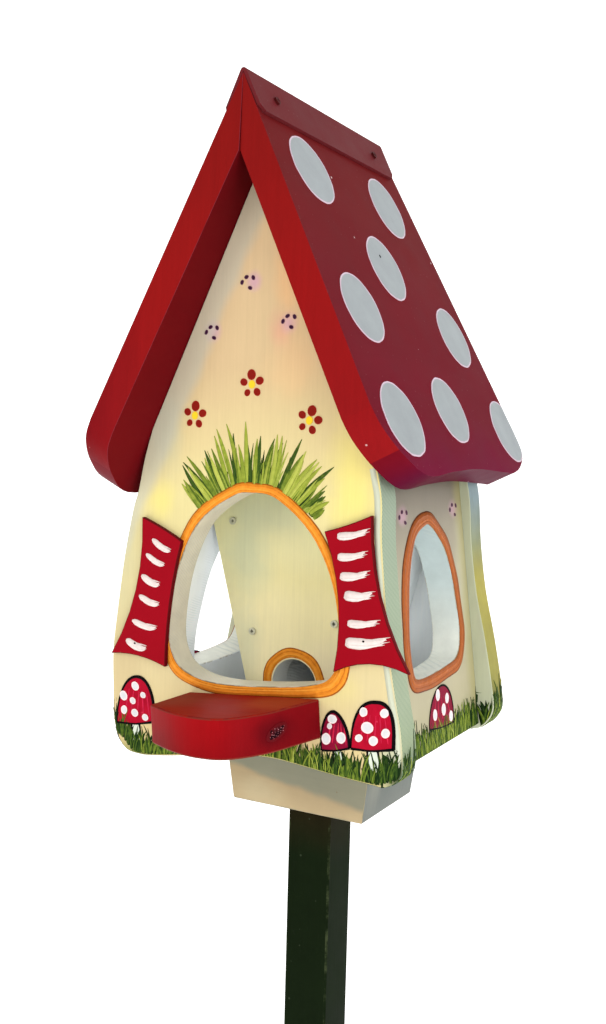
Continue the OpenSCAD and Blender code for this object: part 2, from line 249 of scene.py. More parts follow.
# scattered specks of dust or chipped paint
def makeSpecks():
    graph, start, end = paintGroup("specks", ("Spacing", "Size", "Share"))
    scale = graph.math("DIVIDE", 1.0, start["Spacing"])
    cells = graph.add("ShaderNodeTexVoronoi", {"Vector": start["Vector"], "Scale": scale})
    near = graph.remap(graph.out(cells, "Distance"), start["Size"], graph.times(start["Size"], 0.5))
    draw = graph.add("ShaderNodeSeparateColor", {0: graph.out(cells, "Color")}).outputs[0]
    graph.feed(end["Mask"], graph.times(near, graph.math("LESS_THAN", draw, start["Share"])))
    return graph.tree


groups = {"cloud": makePaintAndShadeCloud(), "grain": makeWoodGrain(), "saw": makeSawMarks(),
          "film": makePaintFilm(), "wear": makeEdgeWear(), "specks": makeSpecks()}
print("shared node groups ready")

plainPaint = {   # what a paint is unless its look says otherwise
    "clouds": (), "bands": (), "specks": (), "ragged": 0.9, "patches": 0.06, "patchScale": 13.0,
    "grain": ((120, 120, 9), 0.12), "grainDepth": 0.5, "brush": (300, 300, 25), "filmDepth": 0.5,
    "sawDepth": 0.5, "bump": 0.35, "bumpHeight": 0.0006, "rough": 0.42, "roughSpread": 0.25,
    "metal": 0.0, "gloss": 0.14, "ior": 1.25}


def paintMaterial(name, look):
    # one paint, from its colour card, clouds, grain, saw marks, specks and wear
    look = {**plainPaint, **look}
    material = bpy.data.materials.new(name)
    material.use_nodes = True
    graph = Graph(material.node_tree)
    surface = material.node_tree.nodes["Principled BSDF"].inputs
    place = graph.add("ShaderNodeTexCoord").outputs["Object"]

    def attribute(label):
        return graph.add("ShaderNodeAttribute", attribute_name=label).outputs["Fac"]

    def glaze(mask, card, strength=1.0):
        # a card's colour laid over the colour so far
        return graph.mix(graph.times(mask, strength), colour, rgb(card))

    if "fade" in look:   # colours at heights in millimetres above the block's foot
        low, high = look["fade"][0][0], look["fade"][-1][0]
        height = graph.plus(graph.split(place)[2], graph.wander(place, 14.0, 0.05))
        level = graph.remap(height, blockFoot + low * mm, blockFoot + high * mm, smooth=False)
        colour = graph.ramp(level, [((z - low) / (high - low), card) for z, card in look["fade"]])
    elif "tones" in look:   # colours chosen by the stroke's own tone
        tone = graph.plus(attribute("tone"), graph.wander(place, 260.0, 0.5))
        colour = graph.ramp(tone, look["tones"])
    else:
        colour = rgb(look["paint"])
    for centre, size, card, strength in look["clouds"]:
        cloud = graph.use("cloud", Vector=place, Centre=inHouse(*centre), Spread=Vector(size) * mm,
                          Raggedness=look["ragged"])
        colour = glaze(cloud[0], card, strength)
    for point, direction, full, none, card, strength in look["bands"]:
        offset = graph.vector("SUBTRACT", place, inHouse(*point))
        reach = graph.out(graph.vector("DOT_PRODUCT", offset, Vector(direction).normalized()), "Value")
        shown = graph.remap(graph.plus(reach, graph.wander(place, 18.0, 0.016)), none * mm, full * mm)
        colour = glaze(shown, card, strength)
    colour = graph.shade(colour, graph.remap(graph.noise(place, look["patchScale"], 5.0, 0.6), 0.25,
                                             0.75, 1 - look["patches"], 1 + look["patches"], False))
    stretch, contrast = look["grain"]
    grain = graph.use("grain", Vector=place, Stretch=stretch, Contrast=contrast)
    colour = graph.shade(colour, grain["Tone"])
    film = graph.use("film", Vector=place, Stretch=look["brush"])
    height = graph.plus(graph.times(grain["Height"], look["grainDepth"]),
                        graph.times(film["Height"], look["filmDepth"]))
    if "saw" in look:
        spacing, slant, coverage, card, strength = look["saw"]
        marks = graph.use("saw", Vector=place, Spacing=spacing * mm, Slant=slant, Coverage=coverage)[0]
        colour = glaze(marks, card, strength)
        height = graph.minus(height, graph.times(marks, look["sawDepth"]))
    for spacing, size, share, card, strength in look["specks"]:
        marks = graph.use("specks", Vector=place, Spacing=spacing * mm, Size=size, Share=share)
        colour = glaze(marks[0], card, strength)
    if "rim" in look:   # lighter border of a dot of paint
        inner, outer, card = look["rim"]
        border = graph.plus(attribute("rim"), graph.wander(place, 150.0, 0.05))
        colour = glaze(graph.remap(border, inner, outer), card)
    if "wear" in look:
        card, amount = look["wear"]
        colour = glaze(graph.use("wear", Vector=place, Edge=attribute("arris"), Amount=amount)[0], card)
    graph.feed(surface["Base Color"], colour)
    sheen = graph.times(film["Sheen"], look["roughSpread"])
    graph.feed(surface["Roughness"], graph.math("ADD", sheen, look["rough"], clamp=True))
    bump = graph.add("ShaderNodeBump", {"Strength": look["bump"], "Distance": look["bumpHeight"],
                                        "Height": height})
    graph.feed(surface["Normal"], bump.outputs[0])
    for label, key in (("Metallic", "metal"), ("Specular IOR Level", "gloss"), ("IOR", "ior")):
        surface[label].default_value = look[key]
    if "glow" in look:
        surface["Emission Color"].default_value = rgb(look["paint"])
        surface["Emission Strength"].default_value = look["glow"]
    return material


camera = {"place": (0.5080, -0.9675, 1.2055), "turn": (86.454, -1.483, 29.134),
          "lens": 38.64, "sensor": 36.0, "nearest": 0.02}
lamps = [   # name, place, aimed at, size, watts, colour
    ("keyLamp", (-1.3, -3.1, 2.1), (0.0, 0.0, 1.15), 1.8, 19.0, (1.0, 0.985, 0.96)),
    ("fillLamp", (2.7, -1.8, 1.4), (0.0, 0.0, 1.1), 2.0, 30.0, (0.97, 0.985, 1.0)),
    ("rearLamp", (-2.4, 2.3, 2.3), (0.0, 0.0, 1.1), 1.8, 16.0, (1.0, 1.0, 1.0)),
]
studio = {"reach": 9.0, "halfWidth": 14.4, "rise": 9.0, "bend": 1.2, "steps": 8, "world": 0.85}
paper = {"paint": (250, 250, 250), "patches": 0.0, "grain": ((1, 1, 1), 0.0), "bump": 0.0,
         "rough": 0.9, "roughSpread": 0.0, "gloss": 0.05, "glow": 0.5}

cameraData = bpy.data.cameras.new("camera")
cameraData.sensor_width = camera["sensor"]
cameraData.lens = camera["lens"]
cameraData.clip_start = camera["nearest"]
cameraObject = addObject("camera", cameraData)
cameraObject.location = camera["place"]
cameraObject.rotation_euler = [math.radians(a) for a in camera["turn"]]
bpy.context.scene.camera = cameraObject
bpy.context.scene.view_settings.view_transform = "Standard"

for name, place, target, size, watts, colour in lamps:
    lampData = bpy.data.lights.new(name, "AREA")
    lampData.shape = "DISK"
    lampData.size = size
    lampData.energy = watts
    lampData.color = colour
    lamp = addObject(name, lampData)
    lamp.location = place
    lamp.rotation_euler = (Vector(target) - Vector(place)).to_track_quat("-Z", "Y").to_euler()

world = bpy.data.worlds.new("studio")
bpy.context.scene.world = world
world.use_nodes = True
background = world.node_tree.nodes["Background"].inputs
background["Color"].default_value = (1, 1, 1, 1)
background["Strength"].default_value = studio["world"]


def makeFloor():
    # pale floor that runs up into a backdrop behind the object
    profile = [(-studio["reach"], 0.0)]
    for step in range(studio["steps"] + 1):
        angle = math.pi / 2 * step / studio["steps"]
        profile.append((studio["reach"] - studio["bend"] * (1 - math.sin(angle)),
                        studio["bend"] * (1 - math.cos(angle))))
    profile.append((studio["reach"], studio["rise"]))
    sheet = bmesh.new()
    rows = [[sheet.verts.new((side * studio["halfWidth"], y, z)) for side in (-1, 1)]
            for y, z in profile]
    for a, b in zip(rows, rows[1:]):
        sheet.faces.new((a[0], a[1], b[1], b[0])).smooth = True
    mesh = bpy.data.meshes.new("studioFloor")
    sheet.to_mesh(mesh)
    sheet.free()
    mesh.materials.append(paintMaterial("studioPaper", paper))
    addObject("studioFloor", mesh)


makeFloor()
print("camera, lamps and floor ready")

# paints of the boards
greenGrey, yellow = (186, 196, 168), (240, 226, 120)
orangeTint, lilac = (238, 190, 136), (206, 160, 178)
wallClouds = [   # on the front wall: across and up, width and height, colour, strength
    (-146, 260, 34, 120, (196, 190, 150), 0.6), (-100, 370, 30, 60, (190, 196, 168), 0.5),
    (-140, 130, 40, 70, (200, 180, 136), 0.7), (24, 454, 20, 30, (226, 160, 138), 0.6),
    (-4, 496, 11, 12, lilac, 0.75), (31, 459, 13, 15, lilac, 0.8), (-46, 454, 12, 14, lilac, 0.7),
    (96, 290, 26, 90, yellow, 0.45), (100, 340, 40, 60, yellow, 0.4),
    (30, 500, 22, 60, orangeTint, 0.75), (36, 430, 40, 50, orangeTint, 0.35),
    (-100, 300, 22, 26, yellow, 0.5), (140, 100, 18, 60, greenGrey, 0.7),
    (84, 150, 40, 26, yellow, 0.25), (152, 190, 20, 170, (206, 212, 184), 0.6),
    (150, 76, 20, 30, (44, 62, 26), 0.95), (60, 70, 110, 16, (128, 134, 62), 0.75),
    (-130, 56, 60, 20, (120, 130, 66), 0.7)]
backFade = [(75, (30, 48, 20)), (98, (54, 72, 30)), (128, (142, 136, 64)), (220, (164, 154, 72)),
            (262, (134, 138, 100)), (300, (124, 142, 146)), (350, (140, 156, 160))]
stripClouds = [   # on the strips of the back wall that show outside the side walls
    (118, 330, (40, 60, 90), (178, 186, 162), 0.9), (136, 220, (12, 60, 120), (190, 198, 160), 0.7),
    (154, 190, (16, 60, 90), (160, 150, 50), 0.85), (150, 84, (40, 60, 30), (50, 70, 32), 0.95)]
screwPlaces = []
for node in frame["nodes"]:
    if "hopper_screw" in node:
        centre = (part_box(node)[0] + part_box(node)[1]) / 2
        screwPlaces.append((centre.x / mm, (centre.z - blockFoot) / mm))

paints = {
    "postGreen": {"fade": [(-850, (14, 23, 10)), (-60, (17, 27, 11)), (0, (34, 28, 13))], "gloss": 0.05,
        "grain": ((110, 110, 5), 0.5), "grainDepth": 1.0, "patches": 0.2,
        "specks": [(9, 0.16, 0.2, (70, 80, 62), 0.4)], "wear": ((62, 70, 46), 0.42), "rough": 0.5},
    "blockCream": {"fade": [(0, (182, 162, 126)), (30, (168, 148, 114)), (77, (150, 138, 110))],
        "bands": [((-80, 87, 38), (0.16, 0, 0.987), 3, -5, (124, 128, 112), 0.8)],
        "grain": ((9, 90, 110), 0.16), "patches": 0.08,
        "clouds": [((-40, 90, 14), (40, 30, 22), (190, 176, 142), 0.5)],
        "specks": [(14, 0.1, 0.25, (120, 96, 60), 0.6)], "wear": ((150, 140, 110), 0.5)},
    "blockSide": {"fade": [(0, (112, 116, 110)), (77, (92, 100, 96))], "grain": ((40, 160, 7), 0.3),
        "patches": 0.1, "clouds": [((80, 110, 40), (60, 26, 60), (140, 140, 128), 0.5)],
        "specks": [(16, 0.1, 0.2, (90, 84, 70), 0.6)], "wear": ((122, 124, 112), 0.5)},
    "wallFront": {"fade": [(58, (210, 188, 132)), (140, (215, 198, 150)), (300, (221, 208, 148)),
            (430, (211, 184, 140)), (520, (219, 190, 146)), (600, (246, 214, 162))],
        # the grey-green band along the left slope of the gable is painted shadow of the roof
        "bands": [((0, 0, 599), (-0.902, 0, 0.432), -18, -31, (194, 194, 176), 0.62)],
        "clouds": [((x, 0, z), (w, 60, h), card, strength)
            for x, z, w, h, card, strength in wallClouds], "grain": ((300, 300, 9), 0.2),
        "grainDepth": 1.0, "patches": 0.035, "rough": 0.38, "wear": ((176, 172, 132), 0.28)},
    "wallEdge": {"fade": [(58, (36, 54, 22)), (78, (50, 70, 34)), (104, (150, 162, 128)),
            (140, (166, 178, 148)), (320, (154, 168, 146))],
        "saw": (3.8, -1.3, 0.75, (116, 136, 118), 0.75), "grain": ((120, 120, 9), 0.08),
        "wear": ((190, 194, 160), 0.25)},
    "doorJamb": {"paint": (214, 208, 188), "saw": (3.4, 0.8, 0.5, (206, 210, 200), 0.45),
        "grain": ((120, 120, 9), 0.08), "patches": 0.1, "patchScale": 60.0,
        "wear": ((150, 140, 110), 0.5)},
    "windowJamb": {"fade": [(126, (236, 236, 222)), (170, (226, 228, 218)), (230, (194, 206, 204)),
            (290, (178, 192, 192))], "saw": (3.0, 0.2, 0.5, (196, 204, 198), 0.4),
        "grain": ((120, 120, 9), 0.1), "patches": 0.08, "patchScale": 60.0,
        "wear": ((170, 150, 120), 0.5)},
    "insideGrey": {"paint": (248, 252, 252), "saw": (2.6, 0.3, 0.35, (200, 208, 206), 0.4),
        "grain": ((100, 100, 8), 0.12), "patches": 0.08, "rough": 0.5,
        "specks": [(22, 0.07, 0.3, (90, 84, 70), 0.6)], "wear": ((160, 150, 124), 0.45)},
    "floorGrey": {"paint": (150, 142, 126), "grain": ((110, 9, 110), 0.25), "patches": 0.14,
        "specks": [(9, 0.16, 0.3, (84, 70, 50), 0.6)], "rough": 0.6, "wear": ((110, 96, 74), 0.5)},
    # darker towards the top, and the first band darkens it more from 280 mm up: painted shadow of the
    # roof
    "sideOuter": {"fade": [(77, (164, 158, 124)), (130, (178, 170, 140)), (220, (172, 164, 140)),
            (300, (146, 138, 122))],
        "bands": [((0, 0, 300), (0, 0, 1), 30, -20, (112, 104, 92), 0.8),
            ((0, 200, 0), (0, 1, 0), -4, -26, (172, 164, 104), 0.5)],
        "clouds": [((128, 190, 230), (60, 26, 120), (196, 194, 162), 0.5),
            ((130, 57, 295), (60, 16, 13), lilac, 0.7), ((130, 177, 297), (60, 16, 13), lilac, 0.7),
            ((138, 180, 84), (60, 70, 34), (92, 108, 48), 0.8),
            ((140, 50, 78), (60, 50, 22), (60, 80, 36), 0.85)], "grain": ((110, 110, 10), 0.1),
        "rough": 0.36, "wear": ((170, 160, 130), 0.5)},
    "backEdge": {"fade": backFade, "grain": ((160, 160, 12), 0.4), "patches": 0.14, "patchScale": 30.0,
        "wear": ((150, 146, 96), 0.3)},
    "backInner": {"paint": (250, 253, 255), "wear": ((176, 182, 140), 0.3),
        "bands": [((side * 132, 0, 196), (side * 0.993, 0, 0.121), -4, -10, (190, 194, 166), 1.0)
            for side in (-1, 1)],
        "clouds": [((side * x, 200, z), size, card, strength)
            for side in (-1, 1) for x, z, size, card, strength in stripClouds],
        "grain": ((160, 160, 12), 0.25), "patches": 0.08},
    "hopperCream": {"fade": [(95, (254, 242, 198)), (150, (252, 240, 192)), (230, (236, 226, 168)),
            (290, (240, 236, 186)), (420, (240, 242, 208))],
        # the three grey-green clouds on the left and upper part are painted shadow of the door's arch
        "clouds": [((-52, 72, 250), (40, 60, 70), (210, 218, 186), 0.6),
            ((-50, 72, 160), (26, 60, 60), (212, 216, 184), 0.5),
            ((-20, 72, 290), (60, 60, 30), (208, 216, 184), 0.4),
            ((40, 72, 140), (30, 60, 40), (240, 224, 190), 0.6)], "grain": ((300, 300, 8), 0.22),
        "grainDepth": 1.0, "rough": 0.36, "wear": ((180, 170, 140), 0.4)},
    # the roof's top, edges, underside and eaves are lit and shaded copies of one red paint; the top is
    # maroon, turning purple towards the eaves as a painted reflection
    "roofTop": {"fade": [(240, (107, 12, 62)), (300, (106, 14, 54)), (380, (106, 18, 34)),
            (560, (104, 25, 29)), (660, (102, 26, 27))], "gloss": 0.06, "ior": 1.12,
        "grain": ((60, 7, 60), 0.2), "patches": 0.08, "rough": 0.4,
        "specks": [(5, 0.14, 0.3, (150, 96, 100), 0.35), (26, 0.05, 0.35, (232, 214, 214), 0.9)],
        "wear": ((150, 56, 72), 0.5)},
    # the front and back edges, the brightest copy: darker towards the ridge and the eaves, over the
    # left board and at the lower corners as painted shade
    "roofEdge": {"fade": [(240, (106, 12, 24)), (300, (134, 20, 24)), (480, (136, 17, 17)),
            (660, (120, 18, 16))],
        "bands": [((-90, 0, 0), (-1, 0, 0), 85, -20, (104, 12, 20), 0.75),
            ((-152, 0, 312), (-0.432, 0, -0.902), 2, -36, (98, 12, 34), 0.85),
            ((152, 0, 312), (0.432, 0, -0.902), 0, -40, (106, 12, 28), 0.85)], "gloss": 0.05,
        "grain": ((150, 60, 9), 0.36), "grainDepth": 1.1, "patches": 0.06, "rough": 0.36,
        "specks": [(30, 0.05, 0.2, (220, 190, 186), 0.7)], "wear": ((122, 44, 56), 0.62)},
    # the underside, a darker copy and darkest towards the ridge: painted shade
    "roofUnder": {"fade": [(240, (112, 14, 20)), (660, (94, 11, 17))], "gloss": 0.05,
        "grain": ((60, 8, 60), 0.2), "patches": 0.06, "rough": 0.42,
        "specks": [(24, 0.05, 0.2, (200, 150, 146), 0.6)], "wear": ((130, 52, 60), 0.6)},
    # the eaves and the ridge's mitre: purple as a painted reflection, and red towards the front
    "roofEave": {"paint": (88, 12, 42), "gloss": 0.06, "ior": 1.18, "grain": ((70, 14, 70), 0.3),
        "bands": [((0, -24, 0), (0, -1, 0), 4, -38, (108, 12, 24), 0.96)], "patches": 0.1,
        "specks": [(16, 0.07, 0.4, (226, 208, 210), 0.8)], "rough": 0.4, "wear": ((150, 70, 90), 0.5)},
    "stripMaroon": {"paint": (100, 32, 36), "gloss": 0.08, "grain": ((60, 7, 60), 0.12),
        "patches": 0.07, "specks": [(6, 0.14, 0.3, (140, 90, 92), 0.3)], "rough": 0.5,
        "wear": ((70, 26, 30), 0.6)},
    "shutterRed": {"paint": (150, 10, 26), "gloss": 0.06, "grain": ((120, 120, 12), 0.1),
        "patches": 0.05, "rough": 0.4, "wear": ((96, 18, 22), 0.75)},
    "shutterEdge": {"paint": (98, 10, 18), "gloss": 0.06, "grain": ((120, 120, 12), 0.1),
        "patches": 0.08, "wear": ((90, 20, 20), 0.5)},
    "perchTop": {"paint": (152, 36, 22), "ior": 1.1, "gloss": 0.05, "grain": ((7, 90, 90), 0.5),
        "grainDepth": 1.0, "patches": 0.1,
        "clouds": [((-50, -30, 130), (60, 50, 40), (134, 60, 44), 0.6),
            ((50, -20, 130), (50, 50, 40), (170, 74, 40), 0.6)],
        "specks": [(12, 0.08, 0.3, (90, 24, 22), 0.5)], "wear": ((120, 30, 30), 0.5)},
    # the band darkens the front towards the right, painted shade where the rounded face turns away from
    # the light
    "perchFront": {"bands": [((30, -50, 0), (1, 0, 0), 40, -14, (104, 12, 20), 0.7)],
        "clouds": [((60, -54, 118), (24, 30, 17), (62, 4, 12), 0.9)],
        "fade": [(84, (112, 8, 12)), (110, (138, 10, 16)), (134, (150, 12, 18))], "gloss": 0.05,
        "grain": ((150, 150, 12), 0.3), "grainDepth": 1.0, "patches": 0.07, "rough": 0.36,
        "wear": ((120, 44, 34), 0.6)},
    "screwPainted": {"paint": (74, 20, 20), "metal": 0.1, "rough": 0.5, "gloss": 0.1, "patches": 0.2,
        "grain": ((500, 500, 500), 0.4)},
    "screwSteel": {"paint": (206, 204, 180), "metal": 0.2, "rough": 0.35, "patches": 0.15,
        # a dark cloud at each hopper screw's middle: painted shade of its cross recess
        "clouds": [((x, 71, z), (2.1, 9, 2.1), (48, 48, 40), 0.95) for x, z in screwPlaces],
        "grain": ((700, 700, 700), 0.5)}}
finish = {name: paintMaterial(name, look) for name, look in paints.items()}
print("paints ready,", len(finish))


cleaning = {"gap": 2e-6, "flat": 0.3}   # metres between doubles; degrees between flat faces
rounding = {"sharp": 32, "segments": 3, "weight": 80, "facing": 0.75, "slack": 3}   # degrees, mm


def mergedShape(node):
    shape = bmesh.new()
    shape.from_mesh(frame["nodes"][node].data)
    bmesh.ops.remove_doubles(shape, verts=shape.verts, dist=cleaning["gap"])
    bmesh.ops.dissolve_limit(shape, angle_limit=math.radians(cleaning["flat"]), verts=shape.verts,
                             edges=shape.edges)
    return shape


def addPiece(name, mesh):
    piece = addObject(name, mesh)
    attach(piece, "root")
    return piece


def makeBoard(node, arris, faces, opening=None):
    # a board's copy with its arrises rounded and each face in its own paint
    names = list(faces)
    ways = [(Vector(way).normalized(), name) for name in names for way in faces[name]]

    def paintFor(normal, centre):
        if not opening:   # the paint whose direction is nearest to the face's own
            return max(ways, key=lambda way: normal.dot(way[0]))[1]
        outer, inner, jamb, edge = names
        across = normal.dot(ways[0][0])
        if abs(across) > rounding["facing"]:
            return outer if across > 0 else inner
        slack = rounding["slack"] * mm
        inside = all(low - slack < c < high + slack for c, low, high in zip(centre, *opening))
        return jamb if inside else edge

    shape = mergedShape(node)
    sharp = math.radians(rounding["sharp"])
    edges = [e for e in shape.edges if e.is_manifold and e.calc_face_angle() > sharp]
    marks = shape.faces.layers.float.new("arris")
    made = bmesh.ops.bevel(shape, geom=edges, offset=arris * mm, offset_type="OFFSET", profile=0.5,
                           segments=rounding["segments"], affect="EDGES", clamp_overlap=True)
    for face in made["faces"]:
        face[marks] = 1.0
    for face in shape.faces:
        face.smooth = True
        face.material_index = names.index(paintFor(face.normal, face.calc_center_median()))
    mesh = bpy.data.meshes.new(node + "Board")
    shape.to_mesh(mesh)
    shape.free()
    for name in names:
        mesh.materials.append(finish[name])
    board = addPiece(node + "Board", mesh)
    board.modifiers.new("evenNormals", "WEIGHTED_NORMAL").weight = rounding["weight"]
    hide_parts(node)


def wallFaces(out, outer, jamb):
    return {outer: [out], "insideGrey": [], jamb: [], "wallEdge": []}


down, up, left, right = (0, 0, -1), (0, 0, 1), (-1, 0, 0), (1, 0, 0)
ahead, behind = (0, -1, 0), (0, 1, 0)
sides = {"left": -1, "right": 1}
pitch = math.radians(64.4)   # of the roof's slopes
run, fall = math.cos(pitch), math.sin(pitch)
slopeOut = {side: Vector((sign * fall, 0, run)) for side, sign in sides.items()}
slopeDown = {side: Vector((sign * run, 0, -fall)) for side, sign in sides.items()}

boards = {   # radius of the arrises, the ways that each paint faces, box of an opening
    "post": (2.0, {"postGreen": [ahead]}),
    "base_block": (0.8, {"blockCream": [ahead, behind], "blockSide": [left, right, up, down]}),
    "floor_board": (0.8, {"floorGrey": [up]}),
    "front_wall": (1.2, wallFaces(ahead, "wallFront", "doorJamb"),
                   (inHouse(-89, 0, 136), inHouse(89, 28, 313))),
    "back_wall": (1.2, {"wallFront": [behind], "backInner": [ahead], "backEdge": [left, right],
                        "wallEdge": [down]}),
    "right_side_wall": (1.0, wallFaces(right, "sideOuter", "windowJamb"),
                        (inHouse(50, 48, 140), inHouse(180, 172, 288))),
    "left_side_wall": (1.0, wallFaces(left, "sideOuter", "windowJamb"),
                       (inHouse(-180, 66, 124), inHouse(-50, 192, 274))),
    "hopper_front_board": (1.0, {"hopperCream": [ahead],
                                 "insideGrey": [behind, left, right, up, down]})}
for side in sides:
    boards["hopper_side_" + side] = (1.0, {"insideGrey": [up]})
    boards["roof_board_" + side] = (2.2, {
        "roofTop": [slopeOut[side]], "roofEdge": [ahead, behind], "roofUnder": [-slopeOut[side]],
        "roofEave": [slopeDown[side], -slopeDown[side]]})
    boards["shutter_" + side] = (0.8, {"shutterRed": [ahead],
                                       "shutterEdge": [behind, left, right, up, down]})
boards["ridge_strip"] = (0.8, {"stripMaroon": [up]})
boards["perch_shelf"] = (1.6, {"perchTop": [up], "perchFront": [ahead, left, right, down, behind]})
for node, board in boards.items():
    makeBoard(node, *board)
for name, node in frame["nodes"].items():
    if "screw" in name:
        node.data.materials.clear()
        node.data.materials.append(finish["screwPainted" if "ridge" in name else "screwSteel"])
print("boards ready")


# trees of Geometry Nodes that lay down paint as thin raised shapes
def newTree(name, inputs):
    shared = ("Geometry", "Thickness", "Lift", "Rise", "Ragged", "Grain", "Material")
    return newGroup(name, "GeometryNodeTree", shared + inputs, ("Geometry",))


def named(graph, name):
    return graph.out(graph.add("GeometryNodeInputNamedAttribute", {"Name": name},
                               data_type="FLOAT"), "Attribute")


def store(graph, geometry, name, value):
    return graph.add("GeometryNodeStoreNamedAttribute",
                     {"Geometry": geometry, "Name": name, "Value": value},
                     data_type="FLOAT", domain="POINT")


def position(graph):
    return graph.add("GeometryNodeInputPosition").outputs[0]


def placeOn(graph, points, shape, turn, scale):
    turned = graph.add("FunctionNodeEulerToRotation", {0: graph.combine(0, 0, turn)})
    placed = graph.add("GeometryNodeInstanceOnPoints",
                       {"Points": points, "Instance": shape, "Rotation": turned, "Scale": scale})
    return graph.add("GeometryNodeRealizeInstances", {"Geometry": placed})


def makeFilm(graph, start, end, shape):
    # presses a shape to a film of paint with a ragged outline
    place = position(graph)
    flat = graph.vector("MULTIPLY", place, (1, 1, 0))
    wander = graph.add("ShaderNodeTexNoise", {"Vector": flat, "Scale": start["Grain"], "Detail": 2.0})
    centred = graph.vector("SUBTRACT", graph.out(wander, "Color"), (0.5, 0.5, 0.5))
    shift = graph.add("ShaderNodeVectorMath", {0: centred, "Scale": start["Ragged"]},
                      operation="SCALE")
    moved = graph.split(graph.vector("ADD", flat, shift))
    side = graph.times(graph.math("SIGN", graph.split(place)[2]), 0.5)
    level = graph.plus(start["Lift"], graph.times(named(graph, "tone"), start["Rise"]))
    height = graph.plus(level, graph.times(side, start["Thickness"]))
    pressed = graph.add("GeometryNodeSetPosition",
                        {"Geometry": shape, "Position": graph.combine(moved[0], moved[1], height)})
    graph.feed(end["Geometry"], graph.add("GeometryNodeSetMaterial",
                                          {"Geometry": pressed, "Material": start["Material"]}))


# round dots with a rim value, one on each point
def makeSpotsTree():
    graph, start, end = newTree("paint spots", ("Sides", "Rings"))
    disc = graph.add("GeometryNodeMeshCylinder",
                     {"Vertices": start["Sides"], "Fill Segments": start["Rings"],
                      "Radius": 1.0, "Depth": 1.0}, fill_type="TRIANGLE_FAN")
    reach = graph.vector("LENGTH", graph.vector("MULTIPLY", position(graph), (1, 1, 0)))
    ringed = store(graph, graph.out(disc, "Mesh"), "rim", reach)
    size = named(graph, "size")
    scale = graph.combine(graph.times(size, named(graph, "stretch")), size, 1)
    makeFilm(graph, start, end, placeOn(graph, start["Geometry"], ringed, named(graph, "turn"), scale))
    return graph.tree


def tubeAlong(graph, curve, girth):
    profile = graph.add("GeometryNodeCurvePrimitiveQuadrilateral", {"Width": 2.0, "Height": 2.0})
    return graph.add("GeometryNodeCurveToMesh",
                     {"Curve": curve, "Profile Curve": profile, "Scale": girth, "Fill Caps": True})


# brush strokes along drawn paths, as wide as each point's girth
def makeStrokesTree():
    graph, start, end = newTree("paint strokes", ("Spacing",))
    path = graph.add("GeometryNodeMeshToCurve", {"Mesh": start["Geometry"]})
    smooth = graph.add("GeometryNodeCurveSplineType", {"Curve": path}, spline_type="CATMULL_ROM")
    even = graph.add("GeometryNodeResampleCurve", {"Curve": smooth, "Length": start["Spacing"]},
                     mode="LENGTH")
    makeFilm(graph, start, end, tubeAlong(graph, even, named(graph, "girth")))
    return graph.tree


bladeForm = {"points": 5, "tip": 1.02, "taper": 0.8, "belly": 1.3, "root": 0.5}


# blades of grass that stand on a drawn path
def makeGrassTree():
    graph, start, end = newTree("grass band", ("Count", "Shortest", "Longest", "Sway", "Bend",
                                               "Width", "Stray", "Seed"))

    def random(low, high, step):
        node = graph.add("FunctionNodeRandomValue", {"Min": low, "Max": high}, data_type="FLOAT")
        graph.feed(graph.socket(node.inputs, "Seed"), graph.plus(start["Seed"], step))
        return graph.out(node, "Value")

    def around(label, step):
        return graph.times(random(-1.0, 1.0, step), start[label])

    path = graph.add("GeometryNodeMeshToCurve", {"Mesh": start["Geometry"]})
    roots = graph.add("GeometryNodeResampleCurve", {"Curve": path, "Count": start["Count"]},
                      mode="COUNT")
    stray = graph.combine(around("Stray", 1.0), around("Stray", 2.0), 0)
    astray = graph.add("GeometryNodeSetPosition", {"Geometry": roots, "Offset": stray})
    toned = store(graph, astray, "tone", graph.minus(random(0.0, 1.0, 3.0), named(graph, "shade")))
    reach = graph.times(random(start["Shortest"], start["Longest"], 4.0), named(graph, "reach"))
    lean = graph.plus(named(graph, "lean"), around("Sway", 5.0))
    aside = graph.times(around("Bend", 6.0), reach)
    blade = graph.add("GeometryNodeCurveQuadraticBezier",
                      {"Resolution": bladeForm["points"], "Start": (0, 0, 0), "Middle": (0, 0.5, 0),
                       "End": (1, 1, 0)})
    real = placeOn(graph, toned, blade, graph.times(lean, -1.0), graph.combine(aside, reach, 1))
    along = graph.out(graph.add("GeometryNodeSplineParameter"), "Factor")
    narrow = graph.math("POWER", graph.minus(bladeForm["tip"], along), bladeForm["taper"])
    belly = graph.plus(graph.times(along, bladeForm["belly"]), bladeForm["root"])
    girth = graph.times(graph.times(narrow, belly), start["Width"])
    makeFilm(graph, start, end, tubeAlong(graph, real, girth))
    return graph.tree


trees = {"spots": makeSpotsTree(), "strokes": makeStrokesTree(), "grass": makeGrassTree()}
values = {"spots": ("size", "stretch", "turn", "tone"), "strokes": ("girth", "tone"),
          "grass": ("reach", "lean", "shade")}
film = {"Thickness": 0.5, "Lift": 0.05, "Rise": 0.2, "Ragged": 0.4, "Grain": 0.4}   # millimetres


def drawing(kind, paths):
    # paths of points, each with the kind's own values, as the edges of a mesh
    mesh = bpy.data.meshes.new("drawing")
    points, edges = [], []
    for path in paths:
        closed = len(path) > 2 and path[0] == path[-1]
        first = len(points)
        points += path[:-1] if closed else path
        edges += [(i, i + 1) for i in range(first, len(points) - 1)]
        if closed:
            edges.append((len(points) - 1, first))
    mesh.from_pydata([(p[0], p[1], 0.0) for p in points], edges, [])
    for index, name in enumerate(values[kind]):
        layer = mesh.attributes.new(name, "FLOAT", "POINT").data
        for item, point in zip(layer, points):
            item.value = point[2 + index]
    return mesh


